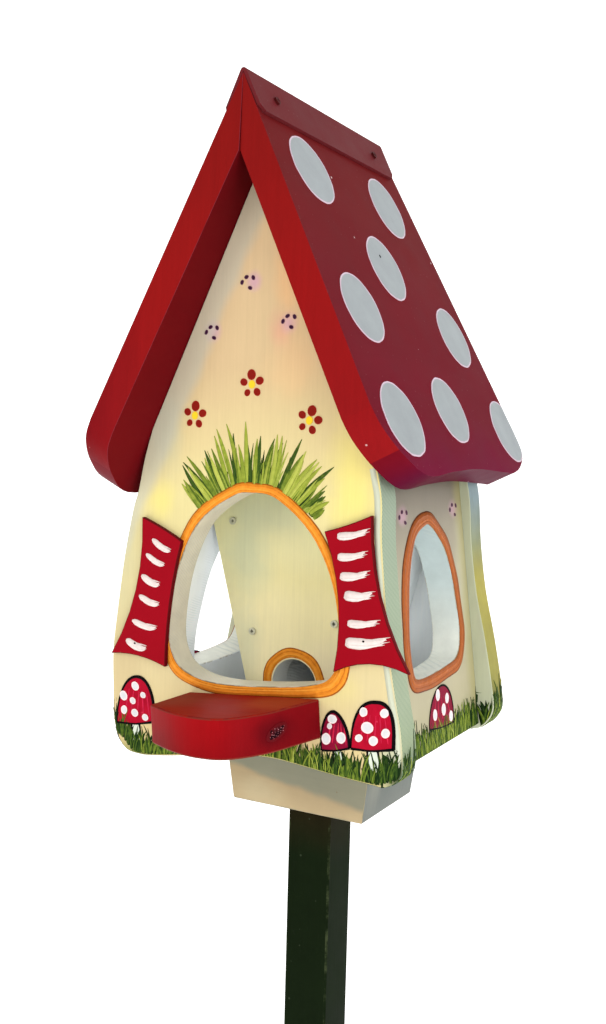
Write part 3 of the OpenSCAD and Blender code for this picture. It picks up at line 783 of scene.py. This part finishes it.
def runTree(kind, paths, paint, **settings):
    # a tree run on a drawing, as a plain mesh in the drawing's millimetres
    holder = addObject("holder", drawing(kind, paths))
    modifier = holder.modifiers.new("paint", "NODES")
    modifier.node_group = trees[kind]
    asked = {**film, **settings, "Material": finish[paint]}
    for item in trees[kind].interface.items_tree:
        if item.in_out == "INPUT" and item.name in asked:
            modifier[item.identifier] = asked[item.name]
    evaluated = holder.evaluated_get(bpy.context.evaluated_depsgraph_get())
    made = bpy.data.meshes.new_from_object(evaluated)
    made.materials.clear()
    made.materials.append(finish[paint])
    bpy.data.objects.remove(holder)
    return made


sheetLimits = {"facing": 0.97,   # cosine; the others are millimetres
               "margin": 1.4, "rayStart": 60, "rayReach": 110}


class Sheet:
    # a face of the house to paint on, in millimetres along it, up it and off it
    def __init__(self, node, out, along, slide, curved=False):
        shape = mergedShape(node)
        self.surface = BVHTree.FromBMesh(shape) if curved else None
        facing = [f for f in shape.faces
                  if f.normal.dot(Vector(out).normalized()) > sheetLimits["facing"]]
        widest = max(facing, key=lambda f: f.calc_area())
        self.out = Vector(out) if curved else widest.normal.copy()
        middle = widest.calc_center_median()
        facing = [f for f in facing if abs((f.calc_center_median() - middle).dot(self.out)) < mm]
        self.along = Vector(along)
        self.up = self.out.cross(self.along)
        if self.up.z < 0:
            self.up.negate()
        start = inHouse(0, 0, 0)
        distance = (middle - start).dot(self.out) / Vector(slide).dot(self.out)
        self.origin = start + Vector(slide) * distance
        self.slotName = slotOf(node)
        self.loops = self.outlines(facing)
        shape.free()

    def flat(self, place):
        offset = place - self.origin
        return offset.dot(self.along) / mm, offset.dot(self.up) / mm

    def outlines(self, facing):
        # the face's outer edge and then the edges of its holes
        border = {corner.vert: corner.link_loop_next.vert for face in facing for corner in face.loops
                  if any(f not in facing for f in corner.edge.link_faces)}
        loops = []
        while border:
            path, vert = [], next(iter(border))
            while vert in border:
                path.append(self.flat(vert.co))
                vert = border.pop(vert)
            loops.append(path)
        width = lambda path: max(p[0] for p in path) - min(p[0] for p in path)
        return sorted(loops, key=width, reverse=True)

    def hold(self, mesh):
        # brings what strays over the face's outer edge back to it
        corners = [Vector(p) for p in aroundHole(self.loops[0], -sheetLimits["margin"])]
        sides = [(a, b) for a, b in zip(corners, corners[1:]) if a != b]
        for vert in mesh.vertices:
            place = vert.co.xy
            crossed = sum((a.y > place.y) != (b.y > place.y)
                          and place.x < a.x + (b.x - a.x) * (place.y - a.y) / (b.y - a.y)
                          for a, b in sides)
            if crossed % 2 == 0:
                nearest = (a.lerp(b, min(1, max(0, intersect_point_line(place, a, b)[1])))
                           for a, b in sides)
                vert.co.xy = min(nearest, key=lambda p: (p - place).length)

    def wrap(self, shape):
        # bends a drawing round the board's own curved face
        start, reach = sheetLimits["rayStart"] * mm, sheetLimits["rayReach"] * mm
        for vert in shape.verts:
            height = (vert.co - self.origin).dot(self.out)
            foot = vert.co - self.out * height
            place, normal = self.surface.ray_cast(foot + self.out * start, -self.out, reach)[:2]
            if place is None:
                place, normal = self.surface.find_nearest(foot)[:2]
            vert.co = place + normal * height

    def lay(self, name, meshes):
        # joins drawings and puts them on the face
        if not self.surface:
            for mesh in meshes:
                self.hold(mesh)
        joined = bmesh.new()
        materials = []
        for mesh in meshes:
            first = len(joined.faces)
            joined.from_mesh(mesh)
            joined.faces.ensure_lookup_table()
            for face in joined.faces[first:]:
                face.material_index = len(materials)
            materials.append(mesh.materials[0])
        place = Matrix((self.along, self.up, self.out)).transposed() * mm
        joined.transform(Matrix.Translation(self.origin) @ place.to_4x4())
        if self.surface:
            self.wrap(joined)
        bmesh.ops.recalc_face_normals(joined, faces=joined.faces)
        mesh = bpy.data.meshes.new(name)
        joined.to_mesh(mesh)
        joined.free()
        for material in materials:
            mesh.materials.append(material)
        return addPiece(name, mesh)


def aroundHole(loop, gap):
    # a closed path a little outside a hole's edge
    count = len(loop)
    turn = sum(a[0] * b[1] - b[0] * a[1] for a, b in zip(loop, loop[1:] + loop[:1]))
    path = []
    for i, point in enumerate(loop):
        before, after = loop[i - 1], loop[(i + 1) % count]
        run = Vector((after[0] - before[0], after[1] - before[1])).normalized()
        side = gap if turn > 0 else -gap
        path.append((point[0] + run.y * side, point[1] - run.x * side))
    return path + path[:1]


def lowerEdge(sheet, below):
    # the foot of a face, from left to right
    return sorted(p for p in sheet.loops[0] if p[1] < below)


decorPaints = {
    "dotGrey": {"paint": (152, 158, 160), "patches": 0.07, "patchScale": 40.0,
        "grain": ((60, 60, 60), 0.12), "rim": (0.94, 0.985, (214, 190, 204)), "brush": (900, 90, 900),
        "bump": 0.5},
    "dotWhite": {"paint": (212, 212, 212), "patches": 0.1, "patchScale": 160.0,
        "rim": (0.6, 0.95, (240, 222, 220))},
    "rimOrange": {"tones": [(0.0, (150, 80, 24)), (0.35, (214, 122, 32)), (0.6, (238, 146, 44)),
            (1.0, (250, 176, 70))], "grain": ((60, 60, 60), 0.2), "patches": 0.08},
    "rimBrown": {"tones": [(0.0, (96, 54, 34)), (0.4, (158, 86, 44)), (0.7, (178, 98, 50)),
            (1.0, (196, 118, 66))], "grain": ((60, 60, 60), 0.2), "patches": 0.08},
    "grass": {"tones": [(0.0, (26, 46, 20)), (0.28, (52, 78, 30)), (0.5, (92, 114, 38)),
            (0.75, (142, 156, 60)), (1.0, (186, 194, 96))], "patches": 0.12, "ior": 1.15},
    "tuft": {"tones": [(0.0, (58, 82, 30)), (0.25, (112, 130, 44)), (0.5, (150, 162, 60)),
            (1.0, (190, 196, 92))], "patches": 0.12, "ior": 1.15},
    "capRed": {"paint": (168, 12, 40), "patches": 0.22, "patchScale": 60.0,
        "grain": ((70, 70, 40), 0.4), "gloss": 0.08, "specks": [(7, 0.16, 0.25, (214, 70, 92), 0.6)]},
    "capMaroon": {"paint": (128, 14, 46), "patches": 0.2, "patchScale": 60.0,
        "grain": ((70, 70, 40), 0.4), "gloss": 0.08},
    "capLight": {"paint": (196, 34, 66), "patches": 0.3, "patchScale": 90.0, "gloss": 0.08},
    "ink": {"paint": (14, 10, 12), "patches": 0.1, "gloss": 0.06},
    "stripePale": {"paint": (204, 208, 184), "grain": ((110, 110, 8), 0.16), "patches": 0.08},
    "stem": {"paint": (214, 222, 204), "patches": 0.1, "patchScale": 60.0},
    "petal": {"paint": (132, 26, 18), "rim": (0.8, 1.0, (160, 34, 28)), "gloss": 0.08},
    "yolk": {"paint": (240, 204, 44), "rim": (0.7, 1.0, (232, 190, 60))},
    "violet": {"paint": (54, 24, 48), "rim": (0.6, 0.95, (100, 60, 84))},
    "knot": {"paint": (58, 5, 14), "rim": (0.3, 1.0, (98, 8, 17)), "patches": 0.5, "patchScale": 260.0,
        "grain": ((300, 300, 200), 0.6), "gloss": 0.2},
    "knotCore": {"paint": (30, 2, 9), "patches": 0.4, "patchScale": 300.0},
    "knotLight": {"paint": (176, 112, 118), "patches": 0.2},
    "brushWhite": {"tones": [(0.0, (186, 176, 172)), (0.5, (216, 200, 192)), (1.0, (238, 226, 220))],
        "patches": 0.07, "patchScale": 120.0}}
finish.update({name: paintMaterial(name, look) for name, look in decorPaints.items()})

sheets = {"front": Sheet("front_wall", ahead, right, behind),
          "back": Sheet("back_wall", behind, left, behind),
          "hopper": Sheet("hopper_front_board", ahead, right, behind)}
for side, outwards in (("left", left), ("right", right)):
    sheets[side + " wall"] = Sheet(side + "_side_wall", outwards, behind, right)
    sheets[side + " roof"] = Sheet("roof_board_" + side, slopeOut[side], behind, up)
    sheets[side + " shutter"] = Sheet("shutter_" + side, ahead, right, behind)
front = sheets["front"]
print("paint trees and sheets ready")


def spot(x, z, size, stretch=1.0, turn=0.0):
    return [(x, z, size, stretch, turn, 0.5)]


# dots of the roof: place along the house, distance down the slope, radius
roofDots = [(30, 78, 33), (182, 82, 33), (112, 161, 33), (18, 214, 33), (221, 221, 33),
            (8, 318, 34), (127, 305, 33), (264, 323, 34)]
for side in sides:
    dots = [spot(y, -fall, radius, turn=0.7 * i) for i, (y, fall, radius) in enumerate(roofDots)]
    sheets[side + " roof"].lay(side + "RoofDots", [
        runTree("spots", dots, "dotGrey", Sides=56, Rings=10, Ragged=2.2, Grain=0.09),
        runTree("spots", [spot(108, -149, 1.6)], "ink", Sides=12, Rings=1, Lift=0.2)])

# painted borders round the openings; bulge: place, reach and height
borders = {"door": {"width": 7.6, "gap": 0.6, "bulge": (78, 160, 22, 2.4), "paint": "rimOrange"},
           "window": {"width": 10.8, "gap": 0.6, "bulge": (60, 240, 44, 1.6), "paint": "rimBrown"},
           "mouth": {"width": 9.2, "gap": 0.4, "bulge": (32, 98, 26, -1.6), "paint": "rimOrange",
                     "middle": 5, "foot": 95.3, "reach": 30, "top": 165}}
begins = {"door": (-63.5, 273.7), "left": (187.8, 176.6), "right": (59.3, 237.5)}   # of the strokes
rimBrush = {"Spacing": 2.0, "Ragged": 0.6, "Grain": 0.16}
rimLayers = [   # shift, share of the half width, extra, tone, lift
    (0.1, 1.0, 0.6, 0.1, 0.1), (0.0, 1.0, 0.0, 0.6, 0.35), (0.5, 0.16, 0.0, 0.44, 0.41),
    (-0.62, 0.12, 0.0, 0.46, 0.41), (-0.2, 0.2, 0.0, 0.72, 0.36)]


def borderPath(loop, border, shift, share, extra, tone):
    # a stroke along the border, wider where its bulge is
    edge, away = aroundHole(loop, 0.0), aroundHole(loop, 1.0)
    path = []
    for i, (near, far) in enumerate(zip(edge[:-1], away[:-1])):
        lump = math.dist(near, border["bulge"][:2]) / border["bulge"][2]
        half = border["width"] / 2 * (1 + 0.04 * math.sin(i * 0.9))
        half += border["bulge"][3] * math.exp(-lump * lump)
        out = border["gap"] + half * (1 + shift)
        girth = half * share * (1 if share == 1 else 0.7 + 0.6 * math.sin(i * 1.7) ** 2) + extra
        path.append((near[0] + (far[0] - near[0]) * out, near[1] + (far[1] - near[1]) * out,
                     girth, tone))
    return path


def begunAt(place, loop):
    # the same closed loop from its corner nearest to a place
    first = min(range(len(loop)), key=lambda i: math.dist(loop[i], place))
    return loop[first:] + loop[:first]


def paintBorder(name, sheet, border, loop):
    meshes = []
    for shift, share, extra, tone, lift in rimLayers:
        path = borderPath(loop, border, shift, share, extra, tone)
        if "foot" in border:   # an arch that stands on its foot
            for end, beside in ((0, 1), (-1, -2)):
                path[end] = (path[beside][0], border["foot"]) + path[end][2:]
        else:
            path.append(path[0])
        meshes.append(runTree("strokes", [path], border["paint"], **rimBrush, Lift=lift))
    sheet.lay(name, meshes)


paintBorder("doorBorder", front, borders["door"], begunAt(begins["door"], front.loops[1]))
for side in sides:
    wall = sheets[side + " wall"]
    paintBorder(side + "WindowBorder", wall, borders["window"], begunAt(begins[side], wall.loops[1]))
mouth = borders["mouth"]
arch = sorted((p for p in sheets["hopper"].loops[0]
               if abs(p[0] - mouth["middle"]) < mouth["reach"] and p[1] < mouth["top"]),
              key=lambda p: math.atan2(p[1] - mouth["foot"], p[0] - mouth["middle"]))
paintBorder("mouthBorder", sheets["hopper"], mouth, arch)
stripe = {"inset": 4.6, "beyond": 80, "from": 84, "to": 345, "girth": 2.6}
rightEdge = sorted((p for p in aroundHole(front.loops[0], -stripe["inset"])[:-1]
                    if p[0] > stripe["beyond"] and stripe["from"] < p[1] < stripe["to"]),
                   key=lambda p: p[1])
front.lay("edgeStripe", [
    runTree("strokes", [[(x, z, stripe["girth"], 0.5) for x, z in rightEdge]], "stripePale",
            Spacing=3.0, Ragged=1.2, Grain=0.05, Thickness=0.3, Lift=-0.08)])
print("roof dots and borders painted")


def blades(sway, bend, width, stray, seed, lift):
    return {"Sway": sway, "Bend": bend, "Width": width, "Stray": stray, "Seed": seed, "Lift": lift}


# the tuft over the door: root, share of the length, lean in radians, darkness
tuftPath = [(-56, 294, 0.76, -0.8, 0.1), (-44, 304, 0.88, -0.72, 0.1), (-31, 310, 0.96, -0.5, 0.15),
            (-16, 315, 1.08, -0.16, 0.3), (0, 317, 1.04, 0.02, 0.35), (14, 316, 1.02, 0.24, 0.15),
            (27, 312, 0.98, 0.45, 0.1), (39, 307, 0.98, 0.72, 0.1), (49, 300, 0.74, 0.85, 0.1),
            (59, 293, 0.34, 0.95, 0.1)]
tuftLayers = [   # paint, blades, shortest, longest, blade's look
    ("grass", 60, 10, 22, blades(0.25, 0.3, 1.8, 1.0, 71, -0.1)),
    ("tuft", 38, 36, 54, blades(0.08, 0.14, 3.2, 1.6, 4, -0.05)),
    ("grass", 18, 18, 38, blades(0.12, 0.12, 1.5, 2.0, 9, 0.0)),
    ("tuft", 30, 24, 48, blades(0.1, 0.14, 1.4, 2.0, 15, 0.06))]
front.lay("doorTuft", [
    runTree("grass", [tuftPath], paint, **look, Count=count, Shortest=low, Longest=high)
    for paint, count, low, high, look in tuftLayers])

# grass along the foot of every wall: height below which the edge counts, length of the blades
# and their share of it at the corners
meadows = {"front": {"below": 80, "tall": 27, "corner": 1.1},
           "back": {"below": 100, "tall": 32, "corner": 1.2},
           "left wall": {"below": 90, "tall": 28, "corner": 1.4},
           "right wall": {"below": 90, "tall": 28, "corner": 1.4}}
meadowLayers = [   # share of the length, blades a millimetre, shade, blade's look
    (0.8, 1.0, 0.3, blades(0.2, 0.3, 1.9, 1.5, 21, 0.02)),
    (1.0, 0.8, 0.24, blades(0.22, 0.4, 1.1, 2.0, 33, 0.1)),
    (0.7, 0.5, 0.1, blades(0.3, 0.4, 0.6, 3.0, 47, 0.16))]
meadowPath = {"steps": 12, "rise": 1.0, "dark": 0.45, "shortest": 0.45}


def growGrass(path, layers, tall, length):
    # layers of blades on a path of places with their share of the length, lean and shade
    meshes = []
    for share, density, shade, look in layers:
        shaded = [(x, z, reach, lean, shade + more) for x, z, reach, lean, more in path]
        meshes.append(runTree("grass", [shaded], "grass", **look, Count=int(length * density),
                              Shortest=tall * share * meadowPath["shortest"], Longest=tall * share))
    return meshes


for name, meadow in meadows.items():
    foot = lowerEdge(sheets[name], meadow["below"])
    start, length = foot[0][0], foot[-1][0] - foot[0][0]
    steps = meadowPath["steps"]
    path = []
    for i in range(steps + 1):
        x = start + length * i / steps
        before, after = next(pair for pair in zip(foot, foot[1:]) if pair[1][0] >= x - 0.001)
        share = (x - before[0]) / max(after[0] - before[0], 0.001)
        end = abs(2 * i / steps - 1) ** 4
        path.append((x, before[1] + (after[1] - before[1]) * share + meadowPath["rise"],
                     1 + (meadow["corner"] - 1) * end, 0.0, meadowPath["dark"] * end))
    sheets[name].lay(name.replace(" w", "W") + "Grass",
                     growGrass(path, meadowLayers, meadow["tall"], length))

# leafy clumps that go on round the edges of the front and back walls
clumpLayers = [
    (0.75, 1.2, 0.52, blades(0.35, 0.5, 3.0, 2.0, 81, 0.0)),
    (1.0, 0.8, 0.36, blades(0.3, 0.5, 1.8, 3.0, 93, 0.08)),
    (0.6, 0.5, 0.1, blades(0.4, 0.5, 0.8, 4.0, 57, 0.14))]
clumps = {   # ends of the foot line along the edge, height of the foot, length of the blades
    "front": {"from": 3, "to": 25, "foot": 62, "tall": 52, "share": 1.1},
    "back": {"from": 202, "to": 226, "foot": 83, "tall": 46, "share": 1.1}}
stripClump = {"from": 149, "to": 157, "foot": 80, "rise": 4, "tall": 42, "share": 0.9, "dark": 0.1}
for side, outwards in (("left", left), ("right", right)):
    for name, clump in clumps.items():
        edge = Sheet(name + "_wall", outwards, behind, right, curved=True)
        path = [(clump["from"], clump["foot"], 1.0, 0.0, 0.0),
                (clump["to"], clump["foot"], clump["share"], 0.0, 0.0)]
        edge.lay(side + name.title() + "EdgeGrass",
                 growGrass(path, clumpLayers, clump["tall"], clump["to"] - clump["from"]))
    clump, sign = stripClump, sides[side]
    ends = [(sign * clump["from"], clump["foot"], clump["share"], 0.0, clump["dark"]),
            (sign * clump["to"], clump["foot"] + clump["rise"], clump["share"], 0.0, 0.0)]
    Sheet("back_wall", ahead, right, behind).lay(side + "StripGrass", growGrass(
        sorted(ends), clumpLayers, clump["tall"], clump["to"] - clump["from"]))
print("grass painted")


def filledShape(outline, paint, lift):
    # a flat closed shape of paint
    shape = bmesh.new()
    low, high = lift - film["Thickness"] / 2, lift + film["Thickness"] / 2
    rings = [[shape.verts.new((x, z, level)) for x, z in outline] for level in (low, high)]
    shape.faces.new(rings[0])
    shape.faces.new(rings[1])
    for i in range(len(outline)):
        shape.faces.new((rings[0][i - 1], rings[0][i], rings[1][i], rings[1][i - 1]))
    bmesh.ops.triangulate(shape, faces=[f for f in shape.faces if len(f.verts) > 4])
    mesh = bpy.data.meshes.new("filledShape")
    shape.to_mesh(mesh)
    shape.free()
    mesh.materials.append(finish[paint])
    return mesh


capKeys = ("middle", "foot", "width", "height", "point", "swell", "tilt", "skew", "ink", "paint",
           "stem", "stemHalf", "stemShift", "dots")
capLook = {"steps": 24, "sag": 0.04, "ink": (0.55, 0.6, 14), "corners": (0.8, 0.6, 0.9),
           "footIn": 0.4, "footOut": 2.1,   # ink: thinnest, its swell and the steps that takes
           "streaks": ((0.1, 0.1), (0.3, 0.06), (0.52, 0.02), (0.72, -0.05), (0.92, -0.1)),
           "streakAcross": (0.8, -0.36), "streakUp": (0.16, 0.56)}   # streaks: place and lean
inkBrush = {"Spacing": 1.2, "Ragged": 0.5}


def mushroom(row):
    # cap, stem, dots and ink lines of one painted mushroom
    cap = dict(zip(capKeys, row))
    centre, bottom, width, height, ink = (cap[key] for key in capKeys[:4] + ("ink",))
    over = []
    for i in range(capLook["steps"] + 1):
        angle = math.pi * (1 - i / capLook["steps"])
        across = math.copysign(abs(math.cos(angle)) ** cap["point"], math.cos(angle))
        over.append((centre + width / 2 * across + cap["skew"] * math.sin(angle),
                     bottom + height * math.sin(angle) ** cap["swell"] + cap["tilt"] * across))
    sag = (centre, bottom - capLook["sag"] * height)
    meshes = [filledShape(over + [sag], cap["paint"], 0.1)]
    thin, swell, steps = capLook["ink"]
    lines = [[(x, z, ink * (thin + swell * min(1, i / steps)), 0.5) for i, (x, z) in enumerate(over)],
             [place + (ink * girth, 0.5)
              for place, girth in zip((over[0], sag, over[-1]), capLook["corners"])]]
    if cap["stem"]:
        half, top = cap["stemHalf"], sag[1]
        middle, foot = centre + cap["stemShift"], top - cap["stem"]
        ends = (middle - half * capLook["footIn"], middle + half * capLook["footOut"])
        meshes.append(filledShape([(middle - half, top), (middle + half, top), (ends[1], foot),
                                   (ends[0], foot)], "stem", -0.08))
        meshes.append(runTree("strokes", [[(middle - half, top, 1.0, 0.5), (ends[0], foot, 0.5, 0.5)],
                                          [(middle + half, top, 1.0, 0.5), (ends[1], foot, 0.6, 0.5)]],
                              "ink", **inkBrush, Lift=-0.1))
    meshes.append(runTree("strokes", lines, "ink", **inkBrush, Lift=0.2))
    (spread, shift), (low, tall) = capLook["streakAcross"], capLook["streakUp"]
    streaks = [[(centre + width * (share * spread + shift + lean * t),
                 bottom + height * (low + tall * t), girth, 0.5)
                for t, girth in ((0, 0.3), (0.5, 0.8), (1, 0.2))] for share, lean in capLook["streaks"]]
    meshes.append(runTree("strokes", streaks, "capLight", Spacing=2.0, Ragged=0.8, Lift=0.08))
    dots = [spot(centre - width / 2 + across * width, bottom + rise * height, radius, 1.15, turn)
            for across, rise, radius, turn in cap["dots"]]
    meshes.append(runTree("spots", dots, "dotWhite", Sides=18, Rings=3, Ragged=0.9, Grain=0.35,
                          Lift=0.25))
    return meshes


frontCaps = [   # in the order of the keys; dots: place across and up, radius, turn
    (-125.5, 88.2, 44, 43.5, 0.95, 0.9, 3.2, 0, 1.3, "capRed", 24, 4.6, 0,
     [(0.48, 0.79, 4.0, -0.7), (0.69, 0.62, 2.8, -0.3), (0.17, 0.54, 4.2, -0.9),
      (0.42, 0.46, 3.1, -0.6), (0.19, 0.23, 3.6, 1.4), (0.48, 0.2, 3.6, -0.3),
      (0.76, 0.14, 3.2, -0.1)]),
    (88.0, 96.0, 27, 32, 1.12, 0.95, 3.0, -4, 1.2, "capMaroon", 22, 4.2, 1.9,
     [(0.36, 0.8, 3.9, 0.3), (0.27, 0.6, 2.3, 1.4), (0.16, 0.24, 4.4, 1.4), (0.69, 0.33, 4.3, 1.2)]),
    (122.2, 101.5, 39.5, 40, 0.78, 0.72, 2.6, 1.5, 1.4, "capRed", 25, 5.0, 0.6,
     [(0.28, 0.76, 3.6, 1.2), (0.77, 0.8, 3.7, 0.9), (0.38, 0.44, 5.0, 0.2), (0.81, 0.38, 3.7, 0.9),
      (0.19, 0.19, 3.2, 0.6), (0.53, 0.18, 3.9, 0.7)])]
sideCap = (106, 102.5, 58, 35.6, 1.0, 0.9, -2.4, 8, 0.9, "capMaroon", 0, 0, 0,
           [(0.43, 0.81, 4.6, 1.4), (0.79, 0.62, 4.2, 1.4), (0.62, 0.38, 4.8, 1.4),
            (0.26, 0.35, 4.6, 1.4), (0.9, 0.12, 4.4, 1.4)])
for letter, row in zip("ABC", frontCaps):
    front.lay("frontMushroom" + letter, mushroom(row))
for side in sides:
    sheets[side + " wall"].lay(side + "Mushroom", mushroom(sideCap))

# five-petalled flowers: place and turn; and the dark dots of the buds on their lilac smudges
petals = {"reach": 8.6, "sizes": (4.3, 3.6, 3.3, 2.9, 3.3), "stretch": 1.12, "centre": 3.4}
flowers = [(-4.3, 406.4, 1.64), (-64.2, 378.6, 1.5), (54.2, 375.6, 1.3)]
buds = {"front": [(-11.4, 496.6), (31.1, 461.4), (-48.1, 454.1)], "side": [(57, 297), (176, 299)],
        "dots": [(-5.4, -1.0), (6.0, 2.6), (3.0, -6.2), (-1.0, 3.4)], "size": 1.7, "stretch": 1.35,
        "turn": 1.2, "twist": 0.8}
small = {"Sides": 14, "Rings": 3, "Ragged": 0.5, "Grain": 0.4, "Lift": 0.1}
redDots, yellowDots = [], []
for x, z, turn in flowers:
    for i, size in enumerate(petals["sizes"]):
        angle = turn - math.tau / 5 * i
        across, rise = petals["reach"] * math.cos(angle), petals["reach"] * math.sin(angle)
        redDots.append(spot(x + across, z + rise, size, petals["stretch"], angle))
    yellowDots.append(spot(x, z, petals["centre"], 1.1, turn))
front.lay("frontFlowers", [runTree("spots", redDots, "petal", **small),
                           runTree("spots", yellowDots, "yolk", **small)])


def paintBuds(name, sheet, places, wide):
    dots = [spot(x + dx * wide, z + dz, buds["size"], buds["stretch"], buds["turn"] + buds["twist"] * i)
            for x, z in places for i, (dx, dz) in enumerate(buds["dots"])]
    sheet.lay(name, [runTree("spots", dots, "violet", **small)])


paintBuds("frontBuds", front, buds["front"], 1.0)
for side in sides:
    paintBuds(side + "Buds", sheets[side + " wall"], buds["side"], 1.4)
print("mushrooms and flowers painted")

# white louvre strokes on the shutters: ends and width, in millimetres
louvres = {
    "left": [(-105.5, 263.9, -85.2, 254.7, 6.0), (-112.2, 249.7, -92, 241.2, 5.6),
             (-117.2, 229.3, -97, 222.8, 6.9), (-119.6, 210.2, -97.3, 204.1, 6.2),
             (-127.2, 186, -99.9, 181.9, 6.2), (-134, 166.9, -111.1, 161.8, 7.5)],
    "right": [(86.9, 278.9, 114, 284.8, 6.7), (87.7, 261.5, 112.7, 266.1, 6.7),
              (90.6, 245.6, 115.2, 249.7, 7.5), (95, 229.9, 120.3, 232.8, 8.6),
              (98.8, 206.4, 125.6, 209.8, 6.7), (97.3, 190.1, 134.4, 195.6, 9.4)]}
swells = {"left": [(0, 0.3, 0), (0.14, 0.85, -0.1), (0.45, 1.0, -0.3), (0.75, 0.8, -0.32),
                   (0.92, 0.4, -0.12), (1, 0.1, 0.1)],
          "right": [(0, 0.55, 0), (0.1, 0.95, -0.08), (0.35, 1.0, -0.2), (0.6, 0.8, -0.22),
                    (0.85, 0.4, -0.08), (1, 0.12, 0.12)]}   # share of the way, width and sag
bristles = {"left": [(-0.22, 1.04), (0.16, 1.06)],
            "right": [(-0.5, 0.98), (-0.28, 1.1), (-0.08, 1.02), (0.12, 1.13)]}   # place and reach


def louvreStroke(row, points):
    # points: share of the way, share of the width aside, girth and tone
    x0, z0, x1, z1, width = row
    return [(x0 + (x1 - x0) * t, z0 + (z1 - z0) * t + aside * width, girth, tone)
            for t, aside, girth, tone in points]


# the ridge is a lighter line along each stroke, a painted highlight
tones = {"body": 0.75, "ridge": 0.9, "line": 0.1, "bristle": 0.7}
ridge = {"below": 0.28, "share": 0.14}   # of the stroke's width
nail = {"share": 0.45, "size": 0.9, "stretch": 1.2}
for side, rows in louvres.items():
    strokes = []
    for row in rows:
        width = row[-1]
        layers = [[(t, sag, width / 2 * swell, tones["body"]) for t, swell, sag in swells[side]],
                  [(t, sag - ridge["below"], width * ridge["share"] * swell, tones["ridge"])
                   for t, swell, sag in swells[side][1:]],
                  [(t, 0.1 - 0.3 * t, 0.5, tones["line"]) for t in (0.12, 0.4, 0.7)]]
        layers += [[(t, beside - 0.2 + 0.3 * t, girth, tones["bristle"])
                    for t, girth in ((0.6, 0.3), (0.85, 0.5), (reach, 0.12))]
                   for beside, reach in bristles[side]]
        strokes += [louvreStroke(row, points) for points in layers]
    x, z = louvreStroke(rows[-1], [(nail["share"], 0, 0, 0)])[0][:2]
    sheets[side + " shutter"].lay(side + "Louvres", [
        runTree("strokes", strokes, "brushWhite", Spacing=1.0, Ragged=0.7, Grain=0.3),
        runTree("spots", [spot(x, z, nail["size"], nail["stretch"])], "ink", Sides=12, Rings=1,
                Ragged=0.2, Lift=0.3)])
print("louvres painted")

# a knot that shows through the paint of the perch: its cores, and light specks in a spiral that are
# painted glints on its cracks
knot = {"place": (60.8, -54, 118.6), "form": (5.8, 1.75, 0.5), "specks": 22, "step": 2.4,
        "long": 7.6, "short": 3.9, "lean": (0.88, 0.48), "size": 0.26, "vary": 0.1, "stretch": 1.4,
        "cores": [(-4.6, -3.4, 1.3, 1.7, 0.9), (-0.4, -1.8, 2.0, 1.7, 0.6), (4.2, 2.6, 1.3, 1.8, 0.7),
                  (-5.2, 1.2, 0.9, 1.5, 1.1)]}
shelf = Sheet("perch_shelf", (0.6, -0.8, 0), (0.8, 0.6, 0), ahead, curved=True)
knotX, knotZ = shelf.flat(inHouse(*knot["place"]))
cores = [spot(knotX + dx, knotZ + dz, *form) for dx, dz, *form in knot["cores"]]
specks, (cosine, sine) = [], knot["lean"]
for i in range(knot["specks"]):
    reach, angle = math.sqrt((i + 0.5) / knot["specks"]), knot["step"] * i
    along, across = knot["long"] * reach * math.cos(angle), knot["short"] * reach * math.sin(angle)
    specks.append(spot(knotX + along * cosine - across * sine, knotZ + along * sine + across * cosine,
                       knot["size"] + knot["vary"] * math.sin(5 * i), knot["stretch"], angle))
shelf.lay("perchKnot", [
    runTree("spots", [spot(knotX, knotZ, *knot["form"])], "knot", Sides=36, Rings=5, Ragged=1.4,
            Grain=0.5),
    runTree("spots", cores, "knotCore", Sides=16, Rings=3, Ragged=0.8, Grain=0.5, Lift=0.12),
    runTree("spots", specks, "knotLight", Sides=6, Rings=1, Ragged=0.1, Lift=0.24)])
print("knot painted")
